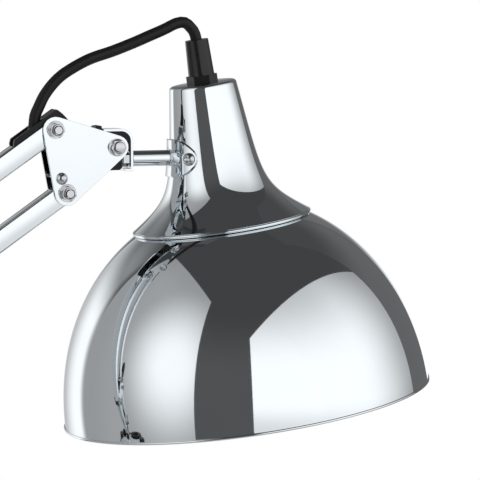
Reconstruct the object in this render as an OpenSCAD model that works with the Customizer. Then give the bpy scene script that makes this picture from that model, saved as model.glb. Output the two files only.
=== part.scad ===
// Desk lamp with a two-arm parallel linkage, a weighted round base and a spun dome shade.
// Millimetres, +Z up. The origin is the middle of the base's underside, on the table.
// The arms swing in the XZ plane, the shade hangs at the +X end, and the near side is -Y.

/* [Base] */
// Diameter of the base cover
base_d = 200; // [170:1:240]
// Height of the base cover at its middle
base_h = 30; // [30:0.5:40]
// Height of the cover's upright side
base_side_h = 14; // [12:0.5:18]
// Corner radius where the side turns into the top
base_corner_r = 9; // [4:0.5:12]
// Thickness of the felt pad
pad_t = 2; // [1.5:0.1:4]
// Gap from the cover's wall to the iron weight and the pad
weight_gap = 2.4; // [1:0.1:5]
// Thickness of the iron weight
weight_t = 19; // [12:0.5:19]
// Diameter of the hollow under the stem
well_d = 46; // [42:1:60]
// Thickness of spun and pressed sheet steel
sheet_t = 0.8; // [0.6:0.1:1]

/* [Stem] */
// Diameter of the turning stem
stem_d = 12; // [11:0.5:14]
// Bore of the stem that the cord runs through
stem_bore = 7; // [6.6:0.1:8]
// Outside diameter of the stem's socket
socket_d = 19; // [17:0.5:22]
// Height of the socket above its flange
socket_h = 14; // [8:0.5:30]
// Diameter of the socket's flange
socket_flange_d = 32; // [28:0.5:40]
// Thickness of the socket's flange
flange_t = 3; // [2:0.5:4]
// Height of the nut under the socket
socket_nut_h = 4; // [3:0.5:5]
// Thickness of the washer the turret turns on
thrust_t = 1; // [0.5:0.1:2]
// Radial clearance of everything that turns on a pin
run_gap = 0.05; // [0.03:0.01:0.08]

/* [Linkage] */
// Lower arm from pivot to pivot
lower_len = 190; // [170:1:260]
// Upper arm from pivot to pivot
upper_len = 190; // [170:1:260]
// Slope of the lower arm at rest
lower_angle = 28; // [24:1:40]
// Slope of the upper arm at rest
upper_angle = 34.5; // [30:0.5:42]
// Height of the lower pivots' middle over the table
pivot_z = 79; // [79:0.5:90]
// Distance between the two pivots of a parallel pair
bolt_gap = 32.3; // [31:0.1:38]
// How far the lower pair of pivots leans back from upright
lower_lean = 35; // [32:0.5:38]
// How far the upper pair of pivots leans back from upright
upper_lean = 10.5; // [6:0.5:14]
// Step along X from the lower arm's link pivot to the upper arm's
elbow_dx = 16; // [15:0.5:24]
// Step up from the lower arm's link pivot to the upper arm's
elbow_dz = 4; // [2:0.5:8]

/* [Bars] */
// Width of a bar across the arm
bar_w = 10; // [10:0.1:11]
// Height of a bar
bar_h = 10.4; // [10:0.1:11]
// Wall of a bar
bar_wall = 0.8; // [0.6:0.1:1]
// Outside corner radius of a bar
bar_r = 1.2; // [0.9:0.1:1.6]
// Gap between a bar and the plate beside it
side_gap = 0.3; // [0.2:0.05:0.6]
// Thickness of the side plates
plate_t = 1.5; // [1:0.1:2]
// Radius of a plate's corner round a pivot
plate_r = 6.5; // [6:0.1:8]
// How far a main bar's end plug reaches past its pivot
plug_front = 8.4; // [7.5:0.1:9]
// Height of the cord guide's rim over a bar's middle line
guide_z = 7.7; // [7:0.1:8.5]
// Distance from a pivot to the far end of the cord guide
guide_len = 22; // [20:0.5:24]
// Slack of an end plug inside its bar
plug_slack = 0.1; // [0.05:0.05:0.2]

/* [Fasteners] */
// Diameter of the pivot bolts
bolt_d = 4; // [3.5:0.1:4.5]
// Width across the flats of the bolts' heads and nuts
bolt_af = 7; // [6:0.5:8]
// Height of a bolt's head
bolt_head_h = 2.8; // [2:0.1:4]
// Diameter of a washer
washer_d = 9; // [8:0.5:10]
// Thickness of a washer
washer_t = 0.8; // [0.5:0.1:1.2]
// Radial clearance in the pivots that close each parallel pair
open_gap = 0.3; // [0.2:0.05:0.4]
// Shank diameter of the stop screw and the turret's screws
screw_d = 2.6; // [2:0.1:2.8]
// Head diameter of the small domed screws
screw_head_d = 6.2; // [5:0.1:7]

/* [Head bracket] */
// Step along X from the bracket's lower pivot to the tilt bolt
tilt_dx = 25.8; // [24:0.1:30]
// Step up from the bracket's lower pivot to the tilt bolt
tilt_dz = 22.4; // [20:0.1:25]
// Radius of the plates round the tilt bolt
nose_r = 6; // [5.5:0.1:7]
// Distance of the stop screw from the lower pivot
stop_r = 7.8; // [7.6:0.1:8.5]
// Flange diameter of the tilt bolt's head
tilt_flange_d = 9.2; // [8.5:0.1:11]
// Thickness of the knuckle's strap
strap_t = 1.3; // [1:0.1:1.8]
// Distance from the tilt bolt to the strap's upright, outside
strap_x = 9; // [8.5:0.1:11]
// Distance from the tilt bolt to the strap's top, outside
strap_z = 9.2; // [9:0.1:11]
// How far the strap hangs below the tilt bolt
strap_drop = 12.2; // [11:0.1:14]
// How far the knuckle's block reaches back from the tilt bolt
block_back = 11.6; // [10:0.1:13]

/* [Swivel] */
// Diameter of the swivel shaft
shaft_d = 8; // [7:0.1:9]
// How far the shaft's middle line lies below the tilt bolt
shaft_drop = 6.2; // [5.5:0.1:7]
// Diameter of the shaft's thin end inside the strap
spigot_d = 4; // [3.5:0.1:5]
// Height of the saddle beside the shaft
saddle_h = 19.1; // [18:0.1:22]
// Thickness of the saddle's sheet
saddle_t = 1.3; // [1:0.1:1.6]
// Angle from the shaft to the tip of each wing, round the neck
wing_deg = 51.5; // [49:0.5:58]
// Angle from the shaft to each saddle screw, round the neck
saddle_screw_deg = 42; // [38:0.5:43]

/* [Shade] */
// Step along X from the tilt bolt to the middle of the rim
shade_dx = 70.5; // [70:0.5:80]
// Step down from the tilt bolt to the middle of the rim
shade_dz = 131.8; // [128:0.1:136]
// Lean of the shade's axis towards the arm
shade_lean = 8.2; // [6:0.1:10]
// Diameter of the dome at its rim, without the bead
rim_d = 188; // [176:1:200]
// Radius of the bead rolled round the rim
bead_r = 1.2; // [1:0.1:1.5]
// Height of the dome
dome_h = 94; // [90:1:100]
// Diameter of the dome's flat top
dome_top_d = 84; // [80:1:88]
// How far the dome's wall stays upright over the rim
dome_side_pull = 42.6; // [36:0.1:46]
// How strongly the dome's shoulder swells
dome_crown_pull = 35.6; // [32:0.1:38]
// Fall of the dome's surface at its flat top
dome_crown_deg = 29.8; // [26:0.1:34]
// Diameter of the neck's foot
neck_foot_d = 90; // [87:1:94]
// Height of the neck's top over the rim
neck_top_h = 165; // [160:1:172]
// Diameter of the neck at its top
neck_top_d = 34.6; // [33:0.1:37]
// Corner radius of the neck's top
neck_corner_r = 2; // [1:0.1:3]
// How far the foot's flare reaches
neck_foot_pull = 27; // [24:0.5:29]
// Slope of the neck's flare at its foot
neck_foot_deg = 35; // [32:0.5:40]
// How far the neck's straight part reaches down
neck_top_pull = 51; // [46:0.5:54]
// Taper of the neck's straight part on each side
neck_taper_deg = 7.8; // [6.5:0.1:9]

/* [Lamp fittings] */
// Diameter of the threaded nipple
nipple_d = 10; // [9:0.1:10.5]
// Outside diameter of the lampholder's barrel
holder_d = 39; // [37:0.5:40]
// Diameter of the lampholder's shoulder
shoulder_d = 50; // [46:0.5:54]
// Diameter of the ring that clamps the shade
ring_d = 56; // [50:1:58]
// Diameter of the bulb's screw cap
cap_d = 26.4; // [26:0.1:27]
// Diameter of the bulb
bulb_d = 45; // [40:1:50]
// Length of the bulb's glass
bulb_len = 50; // [46:1:54]
// Width across the flats of the cord gland
gland_af = 13.7; // [13:0.1:15]
// Height of the gland's hexagon
gland_hex_h = 4; // [3:0.1:5]
// Height of the gland's barrel
gland_h = 18; // [15:0.5:22]

/* [Mains lead] */
// Diameter of the cord
cord_d = 5.8; // [5:0.1:6]
// Radius of the cord's bend where it leaves a bar
cord_bend = 24; // [22:0.5:26]
// Turns of cord in the coil
coil_turns = 7.25; // [5.25:1:7.25]
// Radius of the coil's outermost turn
coil_r = 44; // [40:0.5:48]
// Step from one turn of the coil to the next
coil_pitch = 6.5; // [6.3:0.1:6.8]
// Length of the in-line switch
switch_len = 62; // [56:1:66]
// Width of the in-line switch
switch_w = 25; // [22:1:27]
// Height of the in-line switch
switch_h = 17; // [16:0.5:20]
// Distance between the plug's pins
pin_gap = 19; // [18:0.1:19]

/* [Hidden] */
$fn = 48;

chrome = [0.80, 0.81, 0.83];
zinc = [0.68, 0.69, 0.70];
black = [0.07, 0.07, 0.08];
iron = [0.25, 0.25, 0.26];

// --- the pivots, as [x, z] ---
function along(a, n) = n * [cos(a), sin(a)];
function lean_of(a, n) = n * [-sin(a), cos(a)];
low_main = [0, pivot_z] + lean_of(lower_lean, bolt_gap / 2);
low_link = [0, pivot_z] - lean_of(lower_lean, bolt_gap / 2);
elbow_low_main = low_main + along(lower_angle, lower_len);
elbow_low_link = low_link + along(lower_angle, lower_len);
elbow_up_link = elbow_low_link + [elbow_dx, elbow_dz];
elbow_up_main = elbow_up_link + lean_of(upper_lean, bolt_gap);
head_main = elbow_up_main + along(upper_angle, upper_len);
head_link = elbow_up_link + along(upper_angle, upper_len);
tilt = head_link + [tilt_dx, tilt_dz];
rim = tilt + [shade_dx, -shade_dz];
shaft_z = tilt[1] - shaft_drop;
stop = head_link + along(upper_angle + 76, stop_r);

inner = bar_w / 2 + side_gap; // half the gap between two plates
outer = inner + plate_t; // from the middle plane to a plate's outer face
nut_h = 3.2;
collar_h = 1.8;
collar_d = 6;
thread_out = 0.5;
bolt_end = outer + washer_t + nut_h + collar_h + thread_out;
sit = 0.02; // slack between pieces that are bolted together

// --- heights in the base ---
cover_top = base_h;
cover_under = base_h - sheet_t;
weight_top = pad_t + weight_t;
clamp_t = 5; // iron left over the well, under the cover's middle
well_top = cover_under - clamp_t;
socket_low = well_top - socket_nut_h;
stem_low = socket_low - 3;
turret_z = cover_top + flange_t + socket_h + thrust_t; // underside of the turret's flange
turret_flange_t = 2;
block_z = turret_z + turret_flange_t;
block_h = 9;
block_w = 21;

// --- shared shapes ---
function edge_normal(p, q) =
    atan2(q[1] - p[1], q[0] - p[0]) - acos((p[2] - q[2]) / norm([q[0] - p[0], q[1] - p[1]]));
function turn_up(a, b) = a + (((b - a) % 360) + 360) % 360;
// Outline that wraps circles [x, y, r], named anticlockwise, like a belt
function wrap(c, n = 6) = let (m = len(c)) [
    for (i = [0:m - 1])
        let (q = c[i], a = edge_normal(c[(i + m - 1) % m], q), b = turn_up(a, edge_normal(q, c[(i + 1) % m])))
            for (k = [0:n]) let (t = a + (b - a) * k / n) [q[0] + q[2] * cos(t), q[1] + q[2] * sin(t)]
];
function round_rect(w, h, r) = wrap([
    [w / 2 - r, -h / 2 + r, r], [w / 2 - r, h / 2 - r, r],
    [-w / 2 + r, h / 2 - r, r], [-w / 2 + r, -h / 2 + r, r]
], 4);
function bezier(p, t) =
    pow(1 - t, 3) * p[0] + 3 * pow(1 - t, 2) * t * p[1] + 3 * (1 - t) * t * t * p[2] + pow(t, 3) * p[3];
function bezier_way(p, t) =
    pow(1 - t, 2) * (p[1] - p[0]) + 2 * (1 - t) * t * (p[2] - p[1]) + t * t * (p[3] - p[2]);
// Points of a curve, set off to its left by gap
function curve(p, n, gap = 0) = [
    for (k = [0:n]) let (w = bezier_way(p, k / n)) bezier(p, k / n) + gap * [-w[1], w[0]] / norm(w)
];
function arc(c, r, a, b, n = 5) = [for (k = [0:n]) let (t = a + (b - a) * k / n) c + r * [cos(t), sin(t)]];
function flip(v) = [for (i = [len(v) - 1:-1:0]) v[i]];

module at(p, a = 0) translate([p[0], 0, p[1]]) rotate([0, -a, 0]) children();
module rod_y(p, d, y0, y1) translate([p[0], y1, p[1]]) rotate([90, 0, 0]) cylinder(d = d, h = y1 - y0);
module hex_y(p, af, y0, y1)
    translate([p[0], y1, p[1]]) rotate([90, 0, 0]) cylinder(d = af / cos(30), h = y1 - y0, $fn = 6);
module slab_y(outline, y0, y1)
    translate([0, y1, 0]) rotate([90, 0, 0]) linear_extrude(y1 - y0) polygon(outline);
module slab_x(outline, x0, x1)
    translate([x0, 0, 0]) rotate([90, 0, 90]) linear_extrude(x1 - x0) polygon(outline);
module block(x0, x1, y, z0, z1) translate([x0, -y, z0]) cube([x1 - x0, 2 * y, z1 - z0]);
// A domed screw head whose flat side lies on the face y, on the near side
module dome_head(p, d, y, h) {
    r = (d * d / 4 + h * h) / (2 * h);
    intersection() {
        translate([p[0], y - h + r, p[1]]) sphere(r = r);
        rod_y(p, d, y - h, y);
    }
}

// Bolt from the far side, with washer and nylon-insert nut on the near side
module bolts(points) {
    for (p = points) {
        hex_y(p, bolt_af, outer, outer + bolt_head_h);
        rod_y(p, bolt_d, -bolt_end, outer + 0.1);
    }
}
module nuts(points, side = -1) {
    for (p = points)
        mirror([0, side > 0 ? 1 : 0, 0])
            difference() {
                union() {
                    rod_y(p, washer_d, -outer - washer_t, -outer - sit);
                    hex_y(p, bolt_af, -outer - washer_t - nut_h, -outer - washer_t + 0.05);
                    rod_y(p, collar_d, -outer - washer_t - nut_h - collar_h,
                        -outer - washer_t - nut_h + 0.05);
                }
                rod_y(p, bolt_d + 0.1, -bolt_end - 1, -outer + 1);
            }
}
// Side plate: an outline round circles, drilled at the points
module plate(circles, points, side) {
    y0 = side < 0 ? -outer : inner;
    difference() {
        slab_y(wrap(circles), y0, y0 + plate_t);
        for (p = points) rod_y(p, bolt_d + 0.1, y0 - 1, y0 + plate_t + 1);
    }
}

// --- bars, drawn along +X from their first pivot ---
main_set = 4.2; // from a main bar's pivot to the end of its tube
link_set = 4.2; // from a link bar's pivot to the end of its tube
cord_gap = 0.35; // round the cord in its guide
dive_x = 23.4; // where the cord's bend meets the bar's middle line
plug_len = 26;
core_w = bar_w / 2 - bar_wall - plug_slack; // half width of a plug inside its tube
core_h = bar_h / 2 - bar_wall - plug_slack;

module tube_bar(len, set, slot) {
    difference() {
        slab_x(round_rect(bar_w, bar_h, bar_r), set, len - set);
        slab_x(round_rect(bar_w - 2 * bar_wall, bar_h - 2 * bar_wall, bar_r / 3), set - 1, len - set + 1);
        if (slot)
            for (x = [set - 1, len - guide_len])
                block(x, x + guide_len - set + 1, bar_w / 2 - bar_wall, 0, bar_h);
    }
}
// Side outline of the head that carries a main bar's pivot
head_line = [
    [main_set - sit, -bar_h / 2], [main_set - sit, guide_z], [-plug_front + 2.1, guide_z],
    [-plug_front + 1.6, guide_z - 0.4], [-plug_front + 1.1, guide_z - 1.8],
    [-plug_front + 0.5, guide_z - 3.9],
    [-plug_front + 0.1, guide_z - 6.5], [-plug_front, -1], [-plug_front + 0.4, -bar_h / 2 + 2],
    [-plug_front + 1.4, -bar_h / 2 + 0.5], [-plug_front + 2.8, -bar_h / 2]
];
// End plug of a main bar: a head on the pivot and a guide that turns the cord into the tube
module main_plug() {
    difference() {
        union() {
            slab_y(head_line, -bar_w / 2, bar_w / 2);
            slab_y([
                [main_set - 1, -core_h], [plug_len, -core_h], [plug_len, core_h], [guide_len - sit, core_h],
                [guide_len - 0.6, guide_z - 1.6], [guide_len - 2.4, guide_z], [main_set - 1, guide_z]
            ], -core_w, core_w);
            slab_y([
                [main_set - 1, bar_h / 2 + sit], [guide_len - 0.2, bar_h / 2 + sit],
                [guide_len - 0.6, guide_z - 1.6],
                [guide_len - 2.4, guide_z], [main_set - 1, guide_z]
            ], -bar_w / 2, bar_w / 2);
        }
        rod_y([0, 0], bolt_d + 2 * run_gap, -bar_w, bar_w);
        intersection() {
            rod_y([dive_x, cord_bend], 2 * cord_bend + cord_d + 2 * cord_gap, -bar_w, bar_w);
            block(-bar_h / 3, plug_len + 1, cord_d / 2 + cord_gap, -core_h, cord_bend);
        }
    }
}
// End plug of a link bar
module link_plug(gap) {
    difference() {
        union() {
            intersection() {
                rod_y([0, 0], bar_h, -bar_w / 2, bar_w / 2);
                block(-bar_h, link_set - sit, bar_w, -bar_h, bar_h);
            }
            block(0, link_set - sit, bar_w / 2, -bar_h / 2, bar_h / 2);
            block(link_set - 1, link_set + 12, core_w, -core_h, core_h);
        }
        rod_y([0, 0], bolt_d + 2 * gap, -bar_w, bar_w);
    }
}
module both_ends(len) {
    children(0);
    translate([len, 0, 0]) mirror([1, 0, 0]) children(1);
}

// --- cords ---
// A tube of n sides swept along points that lie near one plane
function cross_at(p, i) = let (m = len(p) - 1, d = p[min(i + 1, m)] - p[max(i - 1, 0)]) d / norm(d);
function side_of(d, up) = let (s = cross(up, d)) s / norm(s);
module cord(p, up = [0, 1, 0], sides = 8, d = cord_d) {
    m = len(p);
    rings = [
        for (i = [0:m - 1])
            let (w = cross_at(p, i), a = side_of(w, up), b = cross(w, a))
                for (k = [0:sides - 1])
                    let (t = 360 * (k + 0.5) / sides) p[i] + d / 2 * (cos(t) * a + sin(t) * b)
    ];
    walls = [
        for (i = [0:m - 2], k = [0:sides - 1])
            let (a = i * sides + k, b = i * sides + (k + 1) % sides)
                each [[a, b + sides, b], [a, a + sides, b + sides]]
    ];
    lids = [
        for (k = [1:sides - 2])
            each [[0, k, k + 1], [(m - 1) * sides, (m - 1) * sides + k + 1, (m - 1) * sides + k]]
    ];
    polyhedron(rings, concat(walls, lids));
}
function on_bar(p, a, x, z) = let (q = p + along(a, x) + lean_of(a, z)) [q[0], 0, q[1]];
// The bend out of a bar's guide, from inside the tube to the open air; dir is 1 at the first pivot
function guide_bend(p, a, dir) = [
    for (t = [0:13.875:55.5]) on_bar(p, a, dir * (dive_x - cord_bend * sin(t)), cord_bend * (1 - cos(t)))
];
function lift(route) = [for (q = route) [q[0], 0, q[1]]];

// Where two bodies' cords meet, their ends stand square to the cord and a little apart
join_gap = 0.4;
function ends_at(q, a) = [q - along(a, 1.6), q - along(a, join_gap / 2)];
function starts_at(q, a) = [q + along(a, join_gap / 2), q + along(a, 1.6)];
function steps_from(p, steps) = [for (q = steps) p + q];
// Where a bar's guide lets the cord out, as [x, z]
function exit_at(p, a, dir) = let (q = guide_bend(p, a, dir)[4]) [q[0], q[2]];
exit_deg = 55.5;
function guide_in(p, a, dir) = flip([for (k = [0:3]) guide_bend(p, a, dir)[k]]);

// The free loops, as [x, z] steps from the pivots and fittings beside them
gland_tip = neck_top_h + gland_hex_h + gland_h;
gland_at = [rim[0] - gland_tip * sin(shade_lean), rim[1] + gland_tip * cos(shade_lean)];
elbow_join = elbow_low_main + [-0.5, 43.8];
elbow_join_deg = 5;
head_join = head_main + [8.3, 29];
head_join_deg = 31;
knuckle_join = tilt + [10.6, 52];
knuckle_join_deg = 21;
stem_route = concat(
    steps_from([0, block_z], [[0, 11], [-2.4, 17], [-8.2, 22], [-16, 26.2]]),
    steps_from(low_main, [
        [-15.2, -11.5], [-22.7, -5.9], [-27.5, 0.8], [-27.3, 8.1], [-22.7, 13.8], [-15.7, 16.2], [-8.7, 14.6]
    ]),
    ends_at(exit_at(low_main, lower_angle, 1), lower_angle - exit_deg)
);
elbow_route_low = concat(
    steps_from(elbow_low_main, [[-7.5, 15.6], [-9.5, 25.1], [-10, 34.1], [-6.5, 40.6]]),
    ends_at(elbow_join, elbow_join_deg)
);
elbow_route_up = concat(
    starts_at(elbow_join, elbow_join_deg),
    steps_from(elbow_up_main, [[-22.1, 32.5], [-17.8, 26.1], [-15.3, 18.8], [-9.9, 13.7]])
);
head_route_low = concat(
    steps_from(head_main, [[-7.1, 10.7], [-3.7, 17.3], [1.8, 24]]), ends_at(head_join, head_join_deg)
);
head_route_mid = concat(
    starts_at(head_join, head_join_deg), steps_from(tilt, [[-12.4, 44], [-0.4, 47.9]]),
    ends_at(knuckle_join, knuckle_join_deg)
);
head_route_top = concat(
    starts_at(knuckle_join, knuckle_join_deg),
    steps_from(gland_at, [[-25.2, 2], [-17.2, 5.3], [-10.7, 8.3], [-6.2, 8.7], [-2.9, 6], [-0.9, 2.9]])
);

// The mains lead on the table, as [x, y, z] points
lead_z = cord_d / 2;
grommet_deg = 145;
grommet_z = 9;
grommet_out = base_d / 2 + 27;
switch_pos = [-196, 84];
coil_pos = [-216, -36];
near_route = [[-113, 79, 7.2], [-124, 84.5, 4.6], [-137, 86.5, 3.4], [-150, 85, 4.6]];
far_route = [[-239, 82, 4.6], [-250, 75, 3.4], [-257.5, 64, 3.2], [-260.5, 50, 3.2], [-260.5, 20, 3.4]];
coil_z = lead_z + 0.9;
plug_x = -176;
plug_y = coil_pos[1] - coil_r;
plug_z = 7.4;

// Radius and height of the coil at a turn t, wound in and out again in two layers
function coil_at(t) =
    let (
        half = coil_turns / 2,
        r = coil_r - coil_pitch * (half - abs(t - half)),
        climb = max(0, min(1, (t - half) * 2 + 0.5)),
        a = 180 + 360 * t
    ) [coil_pos[0] + r * cos(a), coil_pos[1] + r * sin(a), coil_z + coil_pitch * climb];
coil_path = [for (k = [0:24 * coil_turns]) coil_at(k / 24)];
coil_tail = [[-209, plug_y, 10.2], [-199, plug_y, 9.4], [-187, plug_y, 7.8], [plug_x - 1.4, plug_y, plug_z],
    [plug_x, plug_y, plug_z]];
far_gap = [
    for (i = [0:len(coil_path) - 12], j = [i + 12:len(coil_path) - 1]) norm(coil_path[i] - coil_path[j])
];
echo(coil_least_gap = min(far_gap) - cord_d);

/* base ------------------------------------------------------------------ */

cover_r = base_d / 2;
crown_r = cover_r - base_corner_r;
// Outline of the cover's section: side, corner, gently domed top, and the same again inside
function cover_line(t) = let (
    r = cover_r - t, c = base_corner_r - t, top = base_side_h + base_corner_r - t
) concat(
    [[r, pad_t - 0.5], [r, base_side_h]],
    arc([crown_r, base_side_h], c, 15, 75, 4),
    curve([
        [crown_r, top], [crown_r * 0.7, top + 3], [socket_flange_d, base_h - t],
        [socket_flange_d / 2, base_h - t]
    ], 8)
);
module base_cover() color(chrome)
    difference() {
        rotate_extrude($fn = 96) polygon(concat(
            cover_line(0), [[socket_d / 2 + 0.1, cover_top], [socket_d / 2 + 0.1, cover_under]],
            flip(cover_line(sheet_t))
        ));
        rotate([0, 0, grommet_deg]) translate([cover_r - 8, 0, grommet_z]) rotate([0, 90, 0])
            cylinder(d = 8.2, h = 16);
    }
module base_weight() color(iron)
    difference() {
        union() {
            translate([0, 0, pad_t])
                cylinder(r = cover_r - weight_gap, h = weight_t - base_corner_r, $fn = 96);
            translate([0, 0, weight_top - base_corner_r])
                cylinder(r1 = cover_r - weight_gap, r2 = crown_r - weight_gap, h = base_corner_r, $fn = 96);
            cylinder(d = well_d + 8, h = cover_under - 1.2);
            cylinder(d = socket_flange_d - 2, h = cover_under - sit);
        }
        translate([0, 0, -1]) cylinder(d = well_d, h = well_top + 1);
        cylinder(d = socket_d + 0.2, h = base_h);
        translate([0, 0, -1]) cylinder(r = base_d, h = pad_t + 1);
        rotate([0, 0, grommet_deg]) translate([0, -cord_d / 2 - 1, pad_t - 1])
            cube([base_d, cord_d + 2, 12.5]);
    }
module base_pad() color([0.16, 0.16, 0.17])
    cylinder(r = cover_r - weight_gap, h = pad_t - sit, $fn = 96);
module stem_socket() color(chrome)
    difference() {
        union() {
            translate([0, 0, socket_low])
                cylinder(d = socket_d, h = cover_top + flange_t + socket_h - socket_low);
            translate([0, 0, cover_top + sit]) cylinder(d = socket_flange_d, h = flange_t - 1);
            translate([0, 0, cover_top + sit + flange_t - 1])
                cylinder(d1 = socket_flange_d, d2 = socket_flange_d - 2, h = 1);
        }
        translate([0, 0, socket_low - 1]) cylinder(d = stem_d + 2 * run_gap, h = base_h + socket_h);
    }
module socket_nut() color(zinc)
    difference() {
        translate([0, 0, socket_low]) cylinder(d = 27 / cos(30), h = socket_nut_h - sit, $fn = 6);
        translate([0, 0, socket_low - 1]) cylinder(d = socket_d + 0.1, h = socket_nut_h + 2);
    }
grommet_way = [cos(grommet_deg), sin(grommet_deg), 0];
module base_cord() color(black)
    cord(concat(
        [[0, 0, stem_low - join_gap]],
        [for (t = [0:22.5:90]) (10 - 10 * cos(t)) * grommet_way + [0, 0, stem_low - 1.6 - 9 * sin(t)]],
        [for (k = [0.5, 1]) (10 + (cover_r - 12) * k) * grommet_way
            + [0, 0, stem_low - 10.6 + (grommet_z - stem_low + 10.6) * k]],
        [grommet_tip - 0.1 * grommet_way]
    ), [-grommet_way[1], grommet_way[0], 0]);
module lead_grommet() color(black)
    rotate([0, 0, grommet_deg]) translate([cover_r - 2, 0, grommet_z]) rotate([0, 90, 0])
        difference() {
            union() {
                cylinder(d = 11, h = 2 - sheet_t - 0.2);
                cylinder(d = 8, h = 3);
                translate([0, 0, 2.1]) cylinder(d = 12, h = 1.9);
                translate([0, 0, 4]) cylinder(d1 = 11, d2 = 7.6, h = grommet_out - cover_r - 2);
            }
            translate([0, 0, -1]) cylinder(d = cord_d + 0.1, h = grommet_out);
        }

/* mains lead ------------------------------------------------------------ */

grommet_tip = (grommet_out) * grommet_way + [0, 0, grommet_z];
module lead_near() color(black)
    cord(concat([grommet_tip + (join_gap - 0.1) * grommet_way, grommet_tip + 1.6 * grommet_way], near_route, [
        [switch_pos[0] + switch_len / 2 + 8, switch_pos[1], 6.5],
        [switch_pos[0] + switch_len / 2 + 1.4, switch_pos[1], 7],
        [switch_pos[0] + switch_len / 2 + 0.05, switch_pos[1], 7]
    ]), [0, 0, 1]);
module switch_shell(h, grow = 0)
    linear_extrude(h) polygon(wrap([
        [switch_len / 2 - 8 + grow, 0, 8], [6, switch_w / 2 - 6, 6], [-6, switch_w / 2 - 6, 6],
        [-switch_len / 2 + 8 - grow, 0, 8], [-6, -switch_w / 2 + 6, 6], [6, -switch_w / 2 + 6, 6]
    ]));
rocker_len = 15;
rocker_w = 9.6;
rocker_z = switch_h - 2.5;
rocker_gap = 0.4;
module switch_body() color(black)
    translate([switch_pos[0], switch_pos[1], 0])
        difference() {
            union() {
                switch_shell(switch_h);
                for (s = [-1, 1]) translate([s * (switch_len / 2 - 4), 0, 7]) rotate([0, s * 90, 0])
                    cylinder(d = 10, h = 4);
            }
            block(-rocker_len / 2 - rocker_gap, rocker_len / 2 + rocker_gap, rocker_w / 2 + rocker_gap,
                rocker_z - 6, switch_h + 1);
            rod_y([0, rocker_z - 2], 2 + 2 * run_gap, -rocker_w / 2 - 2, rocker_w / 2 + 2);
        }
module switch_rocker() color([0.1, 0.1, 0.11])
    translate([switch_pos[0], switch_pos[1], rocker_z - 2]) rotate([0, 7, 0]) {
        slab_y([
            [-4, -2.2], [4, -2.2], [rocker_len / 2 - 0.5, 1], [rocker_len / 2 - 0.5, 5.8], [0, 4.6],
            [-rocker_len / 2 + 0.5, 5.8], [-rocker_len / 2 + 0.5, 1]
        ], -rocker_w / 2, rocker_w / 2);
        rod_y([0, 0], 2, -rocker_w / 2 - 1.5, rocker_w / 2 + 1.5);
    }
module lead_far() color(black)
    cord(concat([
        [switch_pos[0] - switch_len / 2 - 0.05, switch_pos[1], 7],
        [switch_pos[0] - switch_len / 2 - 1.4, switch_pos[1], 7],
        [switch_pos[0] - switch_len / 2 - 6, switch_pos[1], 6]
    ], far_route, [coil_path[0] + [0, 16, 0], coil_path[0] + [0, 1.3, 0]]), [0, 0, 1]);
module lead_coil() color(black)
    cord(concat([coil_path[0] + [0, 1.25, 0]], coil_path, coil_tail), [0, 0, 1], 6);
tie_w = (coil_turns - 1) / 2 * coil_pitch + cord_d; // across the turns under the tie
module coil_tie() color(black)
    translate([
        coil_pos[0], coil_pos[1] + coil_r - coil_pitch / 2 - (tie_w - cord_d) / 2 + 0.4,
        coil_z + coil_pitch / 2
    ])
        difference() {
            slab_x(round_rect(tie_w + 3, coil_pitch + cord_d + 1.7, 3), -4, 4);
            slab_x(round_rect(tie_w + 1.8, coil_pitch + cord_d + 0.6, 2.6), -5, 5);
        }
plug_block = 36;
plug_thick = 13.7;
module plug_body() color(black)
    translate([plug_x, plug_y, plug_z]) {
        translate([9, 0, -plug_thick / 2]) linear_extrude(plug_thick) polygon(wrap([
            [plug_block - 3, -14.6, 3], [plug_block - 3, 14.6, 3], [15, 14, 3.6], [2.5, 4.6, 2.5],
            [2.5, -4.6, 2.5], [15, -14, 3.6]
        ]));
        translate([0.05, 0, 0]) rotate([0, 90, 0]) cylinder(d1 = 7.4, d2 = 9.4, h = 9.5);
    }
module plug_pins() color([0.78, 0.7, 0.45])
    for (s = [-1, 1])
        translate([plug_x + 9 + plug_block + sit, plug_y + s * pin_gap / 2, plug_z]) rotate([0, 90, 0]) {
            cylinder(d = 4, h = 18);
            translate([0, 0, 17.95]) cylinder(d1 = 4, d2 = 2.8, h = 1);
        }

/* turret ---------------------------------------------------------------- */

knob_end = outer + 20;
block_screws = [[-7.6, block_z + 4.5], [7.6, block_z + 4.5]];
turret_circles = [
    [-block_w / 2 + 3, block_z + 3, 3], [block_w / 2 - 3, block_z + 3, 3],
    [low_link[0], low_link[1], plate_r], [low_main[0], low_main[1], plate_r]
];
module turret_stem() color(chrome)
    difference() {
        union() {
            translate([0, 0, stem_low]) cylinder(d = stem_d, h = turret_z - stem_low + 1);
            translate([0, 0, turret_z]) cylinder(d = 22, h = turret_flange_t);
        }
        translate([0, 0, stem_low - 1]) cylinder(d = stem_bore, h = turret_z);
    }
module stem_nut() color(zinc)
    difference() {
        translate([0, 0, stem_low]) cylinder(d = 19, h = 2.6);
        translate([0, 0, stem_low - 1]) cylinder(d = stem_d + 0.1, h = 5);
    }
module thrust_washer() color([0.9, 0.9, 0.88])
    difference() {
        translate([0, 0, turret_z - thrust_t + 0.1]) cylinder(d = 20, h = thrust_t - 0.1 - sit);
        translate([0, 0, turret_z - thrust_t - 1]) cylinder(d = stem_d + 0.2, h = 5);
    }
module turret_block() color(black)
    difference() {
        translate([0, 0, block_z + sit]) linear_extrude(block_h)
            polygon(round_rect(block_w, 2 * inner - 2 * sit, 2));
        translate([0, 0, block_z - 1]) cylinder(d = stem_bore, h = block_h + 2);
        for (p = block_screws) rod_y(p, screw_d + 0.1, -inner - 1, inner + 1);
    }
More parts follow.
